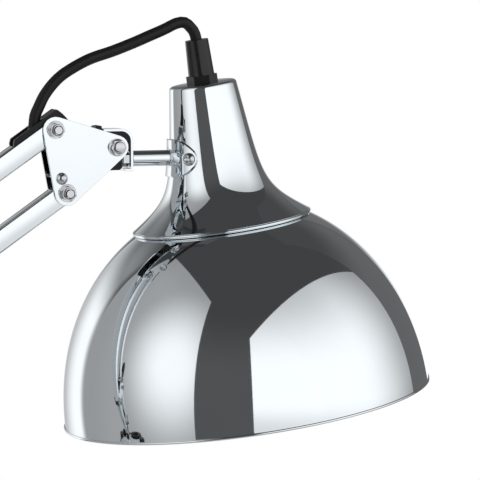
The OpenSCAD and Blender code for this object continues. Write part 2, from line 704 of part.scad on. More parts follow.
module turret_plate(side) color(chrome)
    difference() {
        plate(turret_circles, [low_main, low_link], side);
        for (p = block_screws) rod_y(p, screw_d + 0.1, -outer - 1, outer + 1);
    }
module turret_plate_near() turret_plate(-1);
module turret_plate_far() turret_plate(1);
module turret_bolts() color(zinc) {
    bolts([low_main]);
    hex_y(low_link, bolt_af, -outer - bolt_head_h, -outer);
    rod_y(low_link, bolt_d, -outer - 0.1, outer + 12);
    for (p = block_screws) {
        dome_head(p, screw_head_d, -outer - sit, 2.2);
        rod_y(p, screw_d, -outer - 0.5, outer + 3.4);
    }
}
module turret_nuts() color(zinc) {
    nuts([low_main]);
    for (p = block_screws)
        difference() {
            hex_y(p, 5.5, outer + sit, outer + 2.6);
            rod_y(p, screw_d + 0.1, outer - 1, outer + 4);
        }
}
// Oval knob with finger hollows, screwed on the far end of the link bar's lower bolt
module tension_knob() color(black)
    difference() {
        at(low_link) {
            rod_y([0, 0], 12, outer + 0.3, outer + 7);
            slab_y(wrap([[9, 0, 5], [0, 4, 7], [-9, 0, 5], [0, -4, 7]]), outer + 6, outer + 17);
        }
        rod_y(low_link, bolt_d + 2 * run_gap, outer - 1, outer + 14);
    }
module stem_cord() color(black)
    cord(concat(
        [[0, 0, stem_low], [0, 0, block_z]], lift(stem_route)
    ));

/* lower arm ------------------------------------------------------------- */

module lower_main_bar() color(chrome) at(low_main, lower_angle) tube_bar(lower_len, main_set, true);
module lower_main_plugs() color(black)
    at(low_main, lower_angle) both_ends(lower_len) { main_plug(); main_plug(); }
module lower_link_bar() color(chrome) at(low_link, lower_angle) tube_bar(lower_len, link_set, false);
module lower_link_plugs() color(black)
    at(low_link, lower_angle) both_ends(lower_len) { link_plug(run_gap); link_plug(open_gap); }
module lower_arm_cord() color(black)
    cord(concat(
        lift(starts_at(exit_at(low_main, lower_angle, 1), lower_angle - exit_deg)),
        guide_in(low_main, lower_angle, 1),
        [on_bar(low_main, lower_angle, lower_len / 2, 0)],
        guide_bend(elbow_low_main, lower_angle, -1),
        lift(elbow_route_low)
    ));

/* elbow ----------------------------------------------------------------- */

elbow_points = [elbow_low_main, elbow_low_link, elbow_up_link, elbow_up_main];
elbow_circles = [for (p = elbow_points) [p[0], p[1], plate_r]];
module elbow_plate_near() color(chrome) plate(elbow_circles, elbow_points, -1);
module elbow_plate_far() color(chrome) plate(elbow_circles, elbow_points, 1);
module elbow_bolts() color(zinc) bolts(elbow_points);
module elbow_nuts() color(zinc) nuts(elbow_points);

/* upper arm ------------------------------------------------------------- */

module upper_main_bar() color(chrome) at(elbow_up_main, upper_angle) tube_bar(upper_len, main_set, true);
module upper_main_plugs() color(black)
    at(elbow_up_main, upper_angle) both_ends(upper_len) { main_plug(); main_plug(); }
module upper_link_bar() color(chrome) at(elbow_up_link, upper_angle) tube_bar(upper_len, link_set, false);
module upper_link_plugs() color(black)
    at(elbow_up_link, upper_angle) both_ends(upper_len) { link_plug(run_gap); link_plug(open_gap); }
module upper_arm_cord() color(black)
    cord(concat(
        lift(elbow_route_up),
        flip(guide_bend(elbow_up_main, upper_angle, 1)),
        [on_bar(elbow_up_main, upper_angle, upper_len / 2, 0)],
        guide_bend(head_main, upper_angle, -1),
        lift(head_route_low)
    ));

/* head bracket ---------------------------------------------------------- */

head_points = [head_main, head_link];
head_circles = [
    [head_main[0], head_main[1], plate_r], [head_link[0], head_link[1], plate_r], [tilt[0], tilt[1], nose_r]
];
module head_plate(side) color(chrome)
    difference() {
        plate(head_circles, concat(head_points, [tilt]), side);
        rod_y(stop, screw_d + 0.1, -outer - 1, outer + 1);
    }
module head_plate_near() head_plate(-1);
module head_plate_far() head_plate(1);
module head_bolts() color(zinc) bolts(head_points);
module head_nuts() color(zinc) nuts(head_points);
module stop_screw() color(zinc) {
    dome_head(stop, screw_head_d, -outer - sit, 2.4);
    rod_y(stop, screw_d, -outer - 0.5, outer + 3);
}
// Flanged hexagon bolt that the knuckle tilts on, and its nut
module tilt_bolt() color(zinc) {
    translate([tilt[0], -outer, tilt[1]]) rotate([90, 0, 0]) {
        cylinder(d = tilt_flange_d, h = 1);
        translate([0, 0, 0.95]) cylinder(d1 = tilt_flange_d - 0.6, d2 = bolt_af, h = 0.8);
    }
    hex_y(tilt, bolt_af, -outer - 4.2, -outer - 0.9);
    rod_y(tilt, bolt_d, -outer - 0.1, bolt_end);
    nuts([tilt], 1);
}
module head_cord() color(black) cord(lift(head_route_mid));

/* knuckle --------------------------------------------------------------- */

strap_in = strap_x - strap_t;
strap_under = strap_z - strap_t;
corner_out = 6.2;
nut_room = 5.2; // half height of the hollow that holds the shaft's nut
// The strap's section beside the tilt bolt, as [x, z] from the bolt
strap_mid = [strap_x - corner_out, strap_z - corner_out];
strap_line = concat(
    [[-6.5, strap_z]], flip(arc(strap_mid, corner_out, 0, 90, 6)),
    [[strap_x, -strap_drop], [strap_x - 4.4, -strap_drop], [strap_x - 4.4, -strap_drop + strap_t],
     [strap_in, -strap_drop + strap_t]],
    arc(strap_mid, corner_out - strap_t, 0, 90, 6), [[-6.5, strap_under]]
);
block_line = concat(
    [[-6.8, strap_under - sit]], flip(arc(strap_mid, corner_out - strap_t - sit, 0, 90, 6)),
    [[strap_in - sit, -strap_drop + strap_t + 1.2], [4, -strap_drop + strap_t + 1.2], [2, -11.6], [-4, -11.6],
     [-block_back, -4], [-block_back, 8], [-block_back + 1.5, 10.6], [-7.4, 10.9]]
);
module at_tilt() translate([tilt[0], 0, tilt[1]]) children();
module knuckle_block() color(black)
    difference() {
        at_tilt() slab_y(block_line, -bar_w / 2 + 0.1, bar_w / 2 - 0.1);
        rod_y(tilt, bolt_d + 2 * run_gap, -bar_w, bar_w);
        translate([tilt[0] + strap_in - 4.4, -bar_w, shaft_z - nut_room + 1])
            cube([bar_w, 2 * bar_w, 2 * nut_room - 2]);
    }
module knuckle_strap() color(chrome)
    difference() {
        at_tilt() slab_y(strap_line, -bar_w / 2 + 0.1, bar_w / 2 - 0.1);
        translate([tilt[0], 0, shaft_z]) rotate([0, 90, 0]) cylinder(d = spigot_d + 2 * run_gap, h = 20);
    }

/* shade ----------------------------------------------------------------- */

module shade_frame() translate([rim[0], 0, rim[1]]) rotate([0, -shade_lean, 0]) children();
module spin(outline, n = 96) rotate_extrude($fn = n) polygon(outline);
// [r, height] of the dome and the neck in the shade's own frame
dome = [
    [rim_d / 2, 0], [rim_d / 2 - 1.2, dome_side_pull],
    [dome_top_d / 2 + dome_crown_pull * cos(dome_crown_deg), dome_h - dome_crown_pull * sin(dome_crown_deg)],
    [dome_top_d / 2, dome_h]
];
neck_low = dome_h + 0.6;
neck_high = neck_top_h - neck_corner_r;
neck = [
    [neck_foot_d / 2, neck_low],
    [neck_foot_d / 2 - neck_foot_pull * cos(neck_foot_deg), neck_low + neck_foot_pull * sin(neck_foot_deg)],
    [neck_top_d / 2 + neck_top_pull * sin(neck_taper_deg), neck_high - neck_top_pull * cos(neck_taper_deg)],
    [neck_top_d / 2, neck_high]
];
lip_r = 1.1;
module shade_bell() color(chrome)
    shade_frame() {
        spin(concat(
            curve(dome, 20), [[holder_d / 2 + 0.3, dome_h], [holder_d / 2 + 0.3, dome_h - sheet_t]],
            flip(curve(dome, 20, sheet_t))
        ));
        rotate_extrude($fn = 96) translate([rim_d / 2, 0]) circle(bead_r, $fn = 24);
    }
module shade_neck() color(chrome)
    difference() {
        neck_shell();
        for (s = [-1, 1]) saddle_hole(s) cylinder(d = 3.1, h = 14, center = true);
    }
module neck_shell()
    shade_frame() {
        spin(concat(
            curve(neck, 20), arc([neck_top_d / 2 - neck_corner_r, neck_high], neck_corner_r, 15, 90, 5),
            [[nipple_d / 2 + 0.1, neck_top_h], [nipple_d / 2 + 0.1, neck_top_h - sheet_t]],
            flip(arc([neck_top_d / 2 - neck_corner_r, neck_high], neck_corner_r - sheet_t, 15, 90, 5)),
            flip(curve(neck, 20, sheet_t))
        ));
        rotate_extrude($fn = 96) translate([neck_foot_d / 2, dome_h - 0.3]) circle(lip_r, $fn = 24);
    }

saddle_s = (shaft_z - rim[1]) / cos(shade_lean); // height along the shade's axis
tenon_d = 3;
module swivel_shaft() color(chrome) {
    translate([tilt[0] + strap_x + 0.3, 0, shaft_z]) rotate([0, 90, 0]) {
        cylinder(d = shaft_d, h = web_x - tilt[0] - strap_x - 0.3 - sit);
        cylinder(d = tenon_d, h = web_x - tilt[0] - strap_x + 0.7);
    }
    translate([tilt[0] + strap_in - 3.8, 0, shaft_z]) rotate([0, 90, 0]) cylinder(d = spigot_d, h = 6);
}
module shaft_nut() color(zinc)
    translate([tilt[0] + strap_in - 3.3, 0, shaft_z]) rotate([0, 90, 0])
        difference() {
            cylinder(d = bolt_af / cos(30), h = 3, $fn = 6);
            translate([0, 0, -1]) cylinder(d = spigot_d + 0.1, h = 6);
        }
// Points of the neck between two heights, set out by gap
function neck_band(a, b, gap) = [for (p = curve(neck, 20)) if (p[1] > a && p[1] < b) p + [gap, 0]];
function along_neck(z) = let (c = curve(neck, 40), k = [for (p = c) if (p[1] < z) 1]) c[len(k)][0];
saddle_r = along_neck(saddle_s);
axis_x = rim[0] - saddle_s * sin(shade_lean); // of the shade, at the shaft's height
web_x = axis_x - saddle_r - saddle_t - 0.25; // face of the round pad that the shaft stands on
// Outline of the saddle seen from the side: full height at the shaft, narrow at the wing's tip
wing_tip_x = axis_x - (saddle_r + saddle_t) * cos(wing_deg);
wing_line = [
    for (q = [
        [-14, -9.6], [-8.2, -9.5], [-6.8, -8.6], [-4.4, -7],
        [-2.7, -5.2], [-1.3, -3.4], [-0.4, -1.8], [0, 0.4],
        [-0.4, 2.4], [-1.3, 4], [-2.7, 5.5], [-4.4, 7.1], [-6.6, 8.6], [-8.2, 9.4], [-14, 9.5]
    ]) [wing_tip_x + q[0], shaft_z + q[1] * saddle_h / 19.1]
];
module saddle() color(chrome)
    difference() {
        union() {
            intersection() {
                slab_y(wing_line, -saddle_r - 5, saddle_r + 5);
                shade_frame() spin(concat(
                    neck_band(neck_low + 3, neck_top_h - 12, saddle_t + 0.15),
                    flip(neck_band(neck_low + 3, neck_top_h - 12, 0.15))
                ));
            }
            difference() {
                translate([web_x, 0, shaft_z]) rotate([0, 90, 0]) cylinder(d = shaft_d + 1, h = 3);
                shade_frame() spin(concat(
                    [[0, neck_low + 3]], neck_band(neck_low + 3, neck_top_h - 12, 0.15 + saddle_t / 2),
                    [[0, neck_top_h - 12]]
                ));
            }
        }
        for (s = [-1, 1]) saddle_hole(s) cylinder(d = 3.1, h = 20, center = true);
        translate([web_x, 0, shaft_z]) rotate([0, 90, 0]) cylinder(d = tenon_d + 0.1, h = 8, center = true);
    }
// A frame on the saddle's surface whose Z points straight out of the neck at a screw
module saddle_hole(s)
    translate([axis_x, 0, shaft_z]) rotate([0, 0, 180 - s * saddle_screw_deg])
        translate([saddle_r + saddle_t + 0.45, 0, 0]) rotate([0, 90, 0]) children();
module saddle_screws() color(zinc)
    for (s = [-1, 1])
        saddle_hole(s) {
            difference() {
                intersection() {
                    translate([0, 0, -1.6]) sphere(r = 3.7);
                    cylinder(d = 6.8, h = 3);
                }
                for (a = [0, 90]) rotate([0, 0, a]) translate([-2, -0.5, 1.1]) cube([4, 1, 3]);
            }
            translate([0, 0, -4.5]) cylinder(d = 3, h = 4.6);
        }

gland_r = gland_af / 2 / cos(30);
module cord_gland() color(black)
    shade_frame() translate([0, 0, neck_top_h + sit])
        difference() {
            union() {
                rotate([0, 0, -18]) cylinder(r = gland_r, h = gland_hex_h, $fn = 6);
                translate([0, 0, gland_hex_h]) cylinder(d1 = 13.2, d2 = 11.8, h = gland_h);
            }
            translate([0, 0, -1]) cylinder(d = cord_d + 0.1, h = 40);
            translate([0, 0, -1]) cylinder(d = nipple_d + 0.1, h = 9);
        }
function on_axis(s) = [rim[0] - s * sin(shade_lean), 0, rim[1] + s * cos(shade_lean)];
module shade_cord() color(black)
    cord(concat(lift(head_route_top), [on_axis(gland_tip + 0.1), on_axis(gland_tip - 27)]));
nipple_low = 134;
module nipple() color([0.72, 0.62, 0.36])
    shade_frame() difference() {
        translate([0, 0, nipple_low]) cylinder(d = nipple_d, h = neck_top_h + 6 - nipple_low);
        translate([0, 0, nipple_low - 1]) cylinder(d = nipple_d - 3, h = neck_top_h - nipple_low + 10);
    }
holder_top = nipple_low + 6;
bulb_top = dome_h - 22; // where the glass meets the screw cap
cap_tip = bulb_top + 27; // the screw cap's end contact
contact_d = 8;
contact_h = 1.4;
carrier_t = 5; // the plate across the barrel that holds the contacts
module lampholder() color(black)
    shade_frame() spin([
        [0, cap_tip + 0.1], [contact_d / 2, cap_tip + 0.1], [contact_d / 2, cap_tip + contact_h],
        [cap_d / 2 + 0.6, cap_tip + contact_h], [cap_d / 2 + 0.6, dome_h - 24],
        [holder_d / 2, dome_h - 24], [holder_d / 2, dome_h + sit],
        [shoulder_d / 2, dome_h + sit], [shoulder_d / 2, dome_h + 4], [holder_d / 2, dome_h + 6],
        [holder_d / 2 - 0.5, dome_h + 30], [12, holder_top - 5], [8, holder_top],
        [nipple_d / 2 + 0.1, holder_top], [nipple_d / 2 + 0.1, nipple_low - 3],
        [8, dome_h + 30], [cap_d / 2 - 1, cap_tip + 12], [cap_d / 2 - 1, cap_tip + contact_h + carrier_t],
        [0, cap_tip + contact_h + carrier_t]
    ], 64);
module shade_ring() color(black)
    shade_frame() difference() {
        translate([0, 0, dome_h - sheet_t - 7]) cylinder(d1 = ring_d - 5, d2 = ring_d, h = 7 - sit);
        translate([0, 0, dome_h - 12]) cylinder(d = holder_d + 0.1, h = 14);
    }
glass_t = 1;
globe = [0, bulb_top - bulb_len + bulb_d / 2];
module bulb() color([0.96, 0.96, 0.94])
    shade_frame() spin(concat(
        [[0, globe[1] - bulb_d / 2]], arc(globe, bulb_d / 2, -80, 48, 14),
        [[13.5, bulb_top - 2], [cap_d / 2, bulb_top], [cap_d / 2, cap_tip - 5], [5, cap_tip],
         [0, cap_tip], [0, cap_tip - 2], [5, cap_tip - 2], [cap_d / 2 - 1, cap_tip - 7],
         [cap_d / 2 - 1, bulb_top], [13.5 - glass_t, bulb_top - 2]],
        flip(arc(globe, bulb_d / 2 - glass_t, -80, 48, 14)), [[0, globe[1] - bulb_d / 2 + glass_t]]
    ), 48);

base_cover();
base_weight();
base_pad();
stem_socket();
socket_nut();
base_cord();
lead_grommet();
lead_near();
switch_body();
lead_far();
lead_coil();
coil_tie();
plug_body();
plug_pins();
switch_rocker();
turret_stem();
stem_nut();
thrust_washer();
turret_block();
turret_plate_near();
turret_plate_far();
turret_bolts();
turret_nuts();
stem_cord();
tension_knob();
lower_main_bar();
lower_main_plugs();
lower_arm_cord();
lower_link_bar();
lower_link_plugs();
elbow_plate_near();
elbow_plate_far();
elbow_bolts();
elbow_nuts();
upper_main_bar();
upper_main_plugs();
upper_arm_cord();
upper_link_bar();
upper_link_plugs();
head_plate_near();
head_plate_far();
head_bolts();
head_nuts();
stop_screw();
tilt_bolt();
head_cord();
knuckle_block();
knuckle_strap();
swivel_shaft();
shaft_nut();
saddle();
saddle_screws();
shade_neck();
shade_bell();
cord_gland();
shade_cord();
nipple();
lampholder();
shade_ring();
bulb();
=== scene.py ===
import math

import bmesh
import bpy
from mathutils import Matrix, Vector


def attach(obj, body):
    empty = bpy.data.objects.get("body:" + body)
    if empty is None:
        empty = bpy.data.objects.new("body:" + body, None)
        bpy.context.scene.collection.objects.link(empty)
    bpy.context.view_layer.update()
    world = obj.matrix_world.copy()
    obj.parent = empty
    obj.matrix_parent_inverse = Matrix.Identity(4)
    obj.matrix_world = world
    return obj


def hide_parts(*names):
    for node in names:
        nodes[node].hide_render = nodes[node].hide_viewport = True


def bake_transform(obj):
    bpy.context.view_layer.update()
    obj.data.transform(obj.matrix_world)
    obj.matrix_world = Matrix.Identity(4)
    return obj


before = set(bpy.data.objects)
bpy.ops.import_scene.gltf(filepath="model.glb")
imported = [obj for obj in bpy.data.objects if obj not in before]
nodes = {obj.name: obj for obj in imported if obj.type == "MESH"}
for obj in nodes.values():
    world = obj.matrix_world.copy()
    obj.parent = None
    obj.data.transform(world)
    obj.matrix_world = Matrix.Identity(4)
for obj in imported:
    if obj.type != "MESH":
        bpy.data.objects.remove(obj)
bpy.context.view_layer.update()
mm = 0.001
print("frame loaded:", len(nodes), "nodes")

# the linkage in the XZ plane, in mm and degrees
linkage = {
    "pivotHeight": 79, "boltGap": 32.3, "lowerLean": 35, "upperLean": 10.5, "elbowStep": (16, 4),
    "tiltStep": (25.8, 22.4), "rimStep": (70.5, -131.8), "reach": 190, "lowerAngle": 28, "upperAngle": 34.5,
    "shadeLean": 8.2, "plateFace": 6.8,
}


def flat(x, z):
    return Vector((x * mm, 0, z * mm))


def leanOf(degrees, length):
    turn = math.radians(degrees)
    return Vector((-length * math.sin(turn), length * math.cos(turn)))


def alongOf(degrees, length):
    turn = math.radians(degrees)
    return Vector((length * math.cos(turn), length * math.sin(turn)))


def findPivots():
    half = leanOf(linkage["lowerLean"], linkage["boltGap"] / 2)
    middle = Vector((0, linkage["pivotHeight"]))
    lower, upper = (alongOf(linkage[key], linkage["reach"]) for key in ("lowerAngle", "upperAngle"))
    found = {"lowMain": middle + half, "lowLink": middle - half}
    found["elbowLowMain"], found["elbowLowLink"] = found["lowMain"] + lower, found["lowLink"] + lower
    found["elbowUpLink"] = found["elbowLowLink"] + Vector(linkage["elbowStep"])
    found["elbowUpMain"] = found["elbowUpLink"] + leanOf(linkage["upperLean"], linkage["boltGap"])
    found["headMain"], found["headLink"] = found["elbowUpMain"] + upper, found["elbowUpLink"] + upper
    found["tilt"] = found["headLink"] + Vector(linkage["tiltStep"])
    found["rim"] = found["tilt"] + Vector(linkage["rimStep"])
    return found


pivots = findPivots()
arms = {
    "lower": {"start": pivots["lowMain"], "angle": linkage["lowerAngle"]},
    "upper": {"start": pivots["elbowUpMain"], "angle": linkage["upperAngle"]},
}
shadeRim = flat(*pivots["rim"])  # the middle of the rim
shadeTurn = Matrix.Rotation(math.radians(-linkage["shadeLean"]), 4, "Y")
shadeAxis = shadeTurn @ Vector((0, 0, 1))
print("pivots found:", len(pivots))


def onBar(arm, x, z):
    # from the arm's first pivot, x along the bar and z above its middle line
    return flat(*(arm["start"] + alongOf(arm["angle"], x) + leanOf(arm["angle"], z)))


photoCamera = {
    "azimuth": 18, "elevation": 5.1, "lens": 240, "sensor": 36, "distance": 1.6426, "clip": (0.05, 60),
    # where the rim's middle lies in the picture, the picture's middle, and what a pixel spans at the rim
    "rimPixel": (246.6, 400.5), "middlePixel": 240, "pixel": 0.5133 * mm,
}


def makeCamera():
    turn, tip = math.radians(photoCamera["azimuth"]), math.radians(photoCamera["elevation"])
    ahead = Vector((math.sin(turn) * math.cos(tip), math.cos(turn) * math.cos(tip), -math.sin(tip)))
    right = Vector((math.cos(turn), -math.sin(turn), 0))
    up = right.cross(ahead)
    across, down = (p - photoCamera["middlePixel"] for p in photoCamera["rimPixel"])
    eye = shadeRim - ahead * photoCamera["distance"]
    eye += (up * down - right * across) * photoCamera["pixel"]
    data = bpy.data.cameras.new("photoCamera")
    data.lens, data.sensor_width = photoCamera["lens"], photoCamera["sensor"]
    data.clip_start, data.clip_end = photoCamera["clip"]
    camera = bpy.data.objects.new("photoCamera", data)
    camera.matrix_world = Matrix((
        (right.x, up.x, -ahead.x, eye.x),
        (right.y, up.y, -ahead.y, eye.y),
        (right.z, up.z, -ahead.z, eye.z),
        (0, 0, 0, 1),
    ))
    bpy.context.scene.collection.objects.link(camera)
    bpy.context.scene.camera = camera


makeCamera()
print("camera set")


def nodeIn(tree, kind, **values):
    made = tree.nodes.new(kind)
    for key, value in values.items():
        setattr(made, key, value)
    return made


def link(tree, a, b):
    tree.links.new(a, b)


def addSocket(tree, name, way, kind, value=None):
    made = tree.interface.new_socket(name=name, in_out=way, socket_type=kind)
    if value is not None:
        made.default_value = value


smearNoise = {"Detail": 5, "Distortion": 0.6}
grainNoise = {"Detail": 2}


def makeMarksGroup():
    # handling marks: a roughness that wanders, and a fine height for bump
    group = bpy.data.node_groups.new("handlingMarks", "ShaderNodeTree")
    for name, value in (("Size", 60.0), ("Roughness", 0.1), ("Spread", 0.05), ("Grain Size", 900.0)):
        addSocket(group, name, "INPUT", "NodeSocketFloat", value)
    for name in ("Roughness", "Height", "Mask"):
        addSocket(group, name, "OUTPUT", "NodeSocketFloat")
    given, out = nodeIn(group, "NodeGroupInput"), nodeIn(group, "NodeGroupOutput")
    place = nodeIn(group, "ShaderNodeTexCoord")
    smear, grain = nodeIn(group, "ShaderNodeTexNoise"), nodeIn(group, "ShaderNodeTexNoise")
    for noise, values in ((smear, smearNoise), (grain, grainNoise)):
        for key, value in values.items():
            noise.inputs[key].default_value = value
    spread = nodeIn(group, "ShaderNodeMath", operation="MULTIPLY_ADD")
    centre = nodeIn(group, "ShaderNodeMath", operation="SUBTRACT")
    centre.inputs[1].default_value = 0.5
    link(group, place.outputs["Object"], smear.inputs["Vector"])
    link(group, place.outputs["Object"], grain.inputs["Vector"])
    link(group, given.outputs["Size"], smear.inputs["Scale"])
    link(group, given.outputs["Grain Size"], grain.inputs["Scale"])
    link(group, smear.outputs["Fac"], centre.inputs[0])
    link(group, centre.outputs[0], spread.inputs[0])
    link(group, given.outputs["Spread"], spread.inputs[1])
    link(group, given.outputs["Roughness"], spread.inputs[2])
    link(group, spread.outputs[0], out.inputs["Roughness"])
    link(group, grain.outputs["Fac"], out.inputs["Height"])
    link(group, smear.outputs["Fac"], out.inputs["Mask"])
    return group


marksGroup = makeMarksGroup()

finishes = {
    "chromePlate": {"colour": (0.80, 0.845, 0.875), "metal": 1, "rough": 0.035, "spread": 0.02,
                    "size": 35, "grain": 400, "bump": 0},
    "zincPlate": {"colour": (0.60, 0.61, 0.63), "metal": 1, "rough": 0.11, "spread": 0.08,
                  "size": 300, "grain": 2600, "bump": 0.02},
    "castIron": {"colour": (0.11, 0.11, 0.115), "metal": 0.6, "rough": 0.62, "spread": 0.15,
                 "size": 80, "grain": 700, "bump": 0.35},
    "feltPad": {"colour": (0.03, 0.03, 0.033), "metal": 0, "rough": 0.95, "spread": 0.05,
                "size": 200, "grain": 3500, "bump": 0.5},
    "cordJacket": {"colour": (0.009, 0.009, 0.01), "metal": 0, "rough": 0.36, "spread": 0.10,
                   "size": 120, "grain": 1500, "bump": 0.05, "shine": 0.2},
    "blackRubber": {"colour": (0.014, 0.014, 0.015), "metal": 0, "rough": 0.55, "spread": 0.12,
                    "size": 150, "grain": 1800, "bump": 0.08, "shine": 0.25},
    "mouldedBlack": {"colour": (0.008, 0.008, 0.009), "metal": 0, "rough": 0.3, "spread": 0.10,
                     "size": 200, "grain": 2200, "bump": 0.05, "shine": 0.2},
    "glossBlack": {"colour": (0.012, 0.012, 0.014), "metal": 0, "rough": 0.16, "spread": 0.06,
                   "size": 90, "grain": 1200, "bump": 0.02},
    "glandBlack": {"colour": (0.01, 0.01, 0.011), "metal": 0, "rough": 0.2, "spread": 0.08,
                   "size": 200, "grain": 1500, "bump": 0.03, "shine": 0.35},
    "nylonWhite": {"colour": (0.72, 0.72, 0.68), "metal": 0, "rough": 0.45, "spread": 0.10,
                   "size": 200, "grain": 1500, "bump": 0.04},
    "brassTurned": {"colour": (0.76, 0.60, 0.30), "metal": 1, "rough": 0.24, "spread": 0.10,
                    "size": 250, "grain": 2000, "bump": 0.04},
    "opalGlass": {"colour": (0.86, 0.86, 0.84), "metal": 0, "rough": 0.22, "spread": 0.04,
                  "size": 60, "grain": 900, "bump": 0.01},
}
plainShine = 0.5  # the specular level of a finish that names none
handledShade = 0.93  # how much darker a handled spot is
bumpDepth = 0.2 * mm


def makeFinish(name, look):
    made = bpy.data.materials.new(name)
    made.use_nodes = True
    tree = made.node_tree
    shader = tree.nodes["Principled BSDF"]
    shader.inputs["Metallic"].default_value = look["metal"]
    shader.inputs["Specular IOR Level"].default_value = look.get("shine", plainShine)
    marks = nodeIn(tree, "ShaderNodeGroup", node_tree=marksGroup)
    marks.inputs["Size"].default_value = look["size"]
    marks.inputs["Roughness"].default_value = look["rough"]
    marks.inputs["Spread"].default_value = look["spread"]
    marks.inputs["Grain Size"].default_value = look["grain"]
    link(tree, marks.outputs["Roughness"], shader.inputs["Roughness"])
    tone = nodeIn(tree, "ShaderNodeMix", data_type="RGBA")
    darker = [c * handledShade for c in look["colour"]]
    tone.inputs["A"].default_value = (*darker, 1)
    tone.inputs["B"].default_value = (*look["colour"], 1)
    link(tree, marks.outputs["Mask"], tone.inputs["Factor"])
    link(tree, tone.outputs["Result"], shader.inputs["Base Color"])
    if look["bump"]:
        bump = nodeIn(tree, "ShaderNodeBump")
        bump.inputs["Strength"].default_value = look["bump"]
        bump.inputs["Distance"].default_value = bumpDepth
        link(tree, marks.outputs["Height"], bump.inputs["Height"])
        link(tree, bump.outputs["Normal"], shader.inputs["Normal"])
    made.diffuse_color = (*look["colour"], 1)
    return made


materials = {name: makeFinish(name, look) for name, look in finishes.items()}
print("finishes made:", len(materials))


def newObject(name, mesh, finish):
    mesh.materials.clear()
    mesh.materials.append(materials[finish])
    made = bpy.data.objects.new(name, mesh)
    bpy.context.scene.collection.objects.link(made)
    return made


def smoothByAngle(mesh, degrees):
    for face in mesh.polygons:
        face.use_smooth = True
    mesh.set_sharp_from_angle(angle=math.radians(degrees))


def closedMesh(name, verts, faces, degrees):
    # a mesh with its normals turned outwards and its sharp edges marked
    mesh = bpy.data.meshes.new(name)
    mesh.from_pydata([tuple(v) for v in verts], [], faces)
    shape = bmesh.new()
    shape.from_mesh(mesh)
    bmesh.ops.recalc_face_normals(shape, faces=shape.faces)
    shape.to_mesh(mesh)
    shape.free()
    smoothByAngle(mesh, degrees)
    return mesh


def catmull(points, step):
    # a smooth line through the points, with a new point about every step
    points = [Vector(p) for p in points]
    line = [points[0]]
    ends = [points[0] * 2 - points[1]] + points + [points[-1] * 2 - points[-2]]
    for a, b, c, d in zip(ends, ends[1:], ends[2:], ends[3:]):
        count = max(1, round((c - b).length / step))
        for k in range(1, count + 1):
            t = k / count
            bent = (2 * a - 5 * b + 4 * c - d) * t * t + (3 * b - a - 3 * c + d) * t * t * t
            line.append(0.5 * (2 * b + (c - a) * t + bent))
    return line


# the Geometry Nodes trees, for cords and for nuts on points
def newGeometryTree(name):
    tree = bpy.data.node_groups.new(name, "GeometryNodeTree")
    addSocket(tree, "Geometry", "INPUT", "NodeSocketGeometry")
    return tree


def finishTree(tree, geometry):
    # every tree ends the same way: real instances, then the material
    addSocket(tree, "Material", "INPUT", "NodeSocketMaterial")
    addSocket(tree, "Geometry", "OUTPUT", "NodeSocketGeometry")
    real = nodeIn(tree, "GeometryNodeRealizeInstances")
    paint = nodeIn(tree, "GeometryNodeSetMaterial")
    given = [n for n in tree.nodes if n.bl_idname == "NodeGroupInput"][0]
    out = nodeIn(tree, "NodeGroupOutput")
    link(tree, geometry, real.inputs[0])
    link(tree, real.outputs[0], paint.inputs["Geometry"])
    link(tree, given.outputs["Material"], paint.inputs["Material"])
    link(tree, paint.outputs["Geometry"], out.inputs["Geometry"])
    return tree


def makeTubeTree():
    # a round tube along a line of edges
    tree = newGeometryTree("cordTube")
    addSocket(tree, "Radius", "INPUT", "NodeSocketFloat", 2.9 * mm)
    addSocket(tree, "Sides", "INPUT", "NodeSocketInt", 16)
    given = nodeIn(tree, "NodeGroupInput")
    line = nodeIn(tree, "GeometryNodeMeshToCurve")
    ring = nodeIn(tree, "GeometryNodeCurvePrimitiveCircle")
    tube = nodeIn(tree, "GeometryNodeCurveToMesh")
    smooth = nodeIn(tree, "GeometryNodeSetShadeSmooth")
    tube.inputs["Fill Caps"].default_value = True
    link(tree, given.outputs["Geometry"], line.inputs[0])
    link(tree, given.outputs["Radius"], ring.inputs["Radius"])
    link(tree, given.outputs["Sides"], ring.inputs["Resolution"])
    link(tree, line.outputs[0], tube.inputs["Curve"])
    link(tree, ring.outputs[0], tube.inputs["Profile Curve"])
    link(tree, tube.outputs[0], smooth.inputs[0])
    return finishTree(tree, smooth.outputs[0])


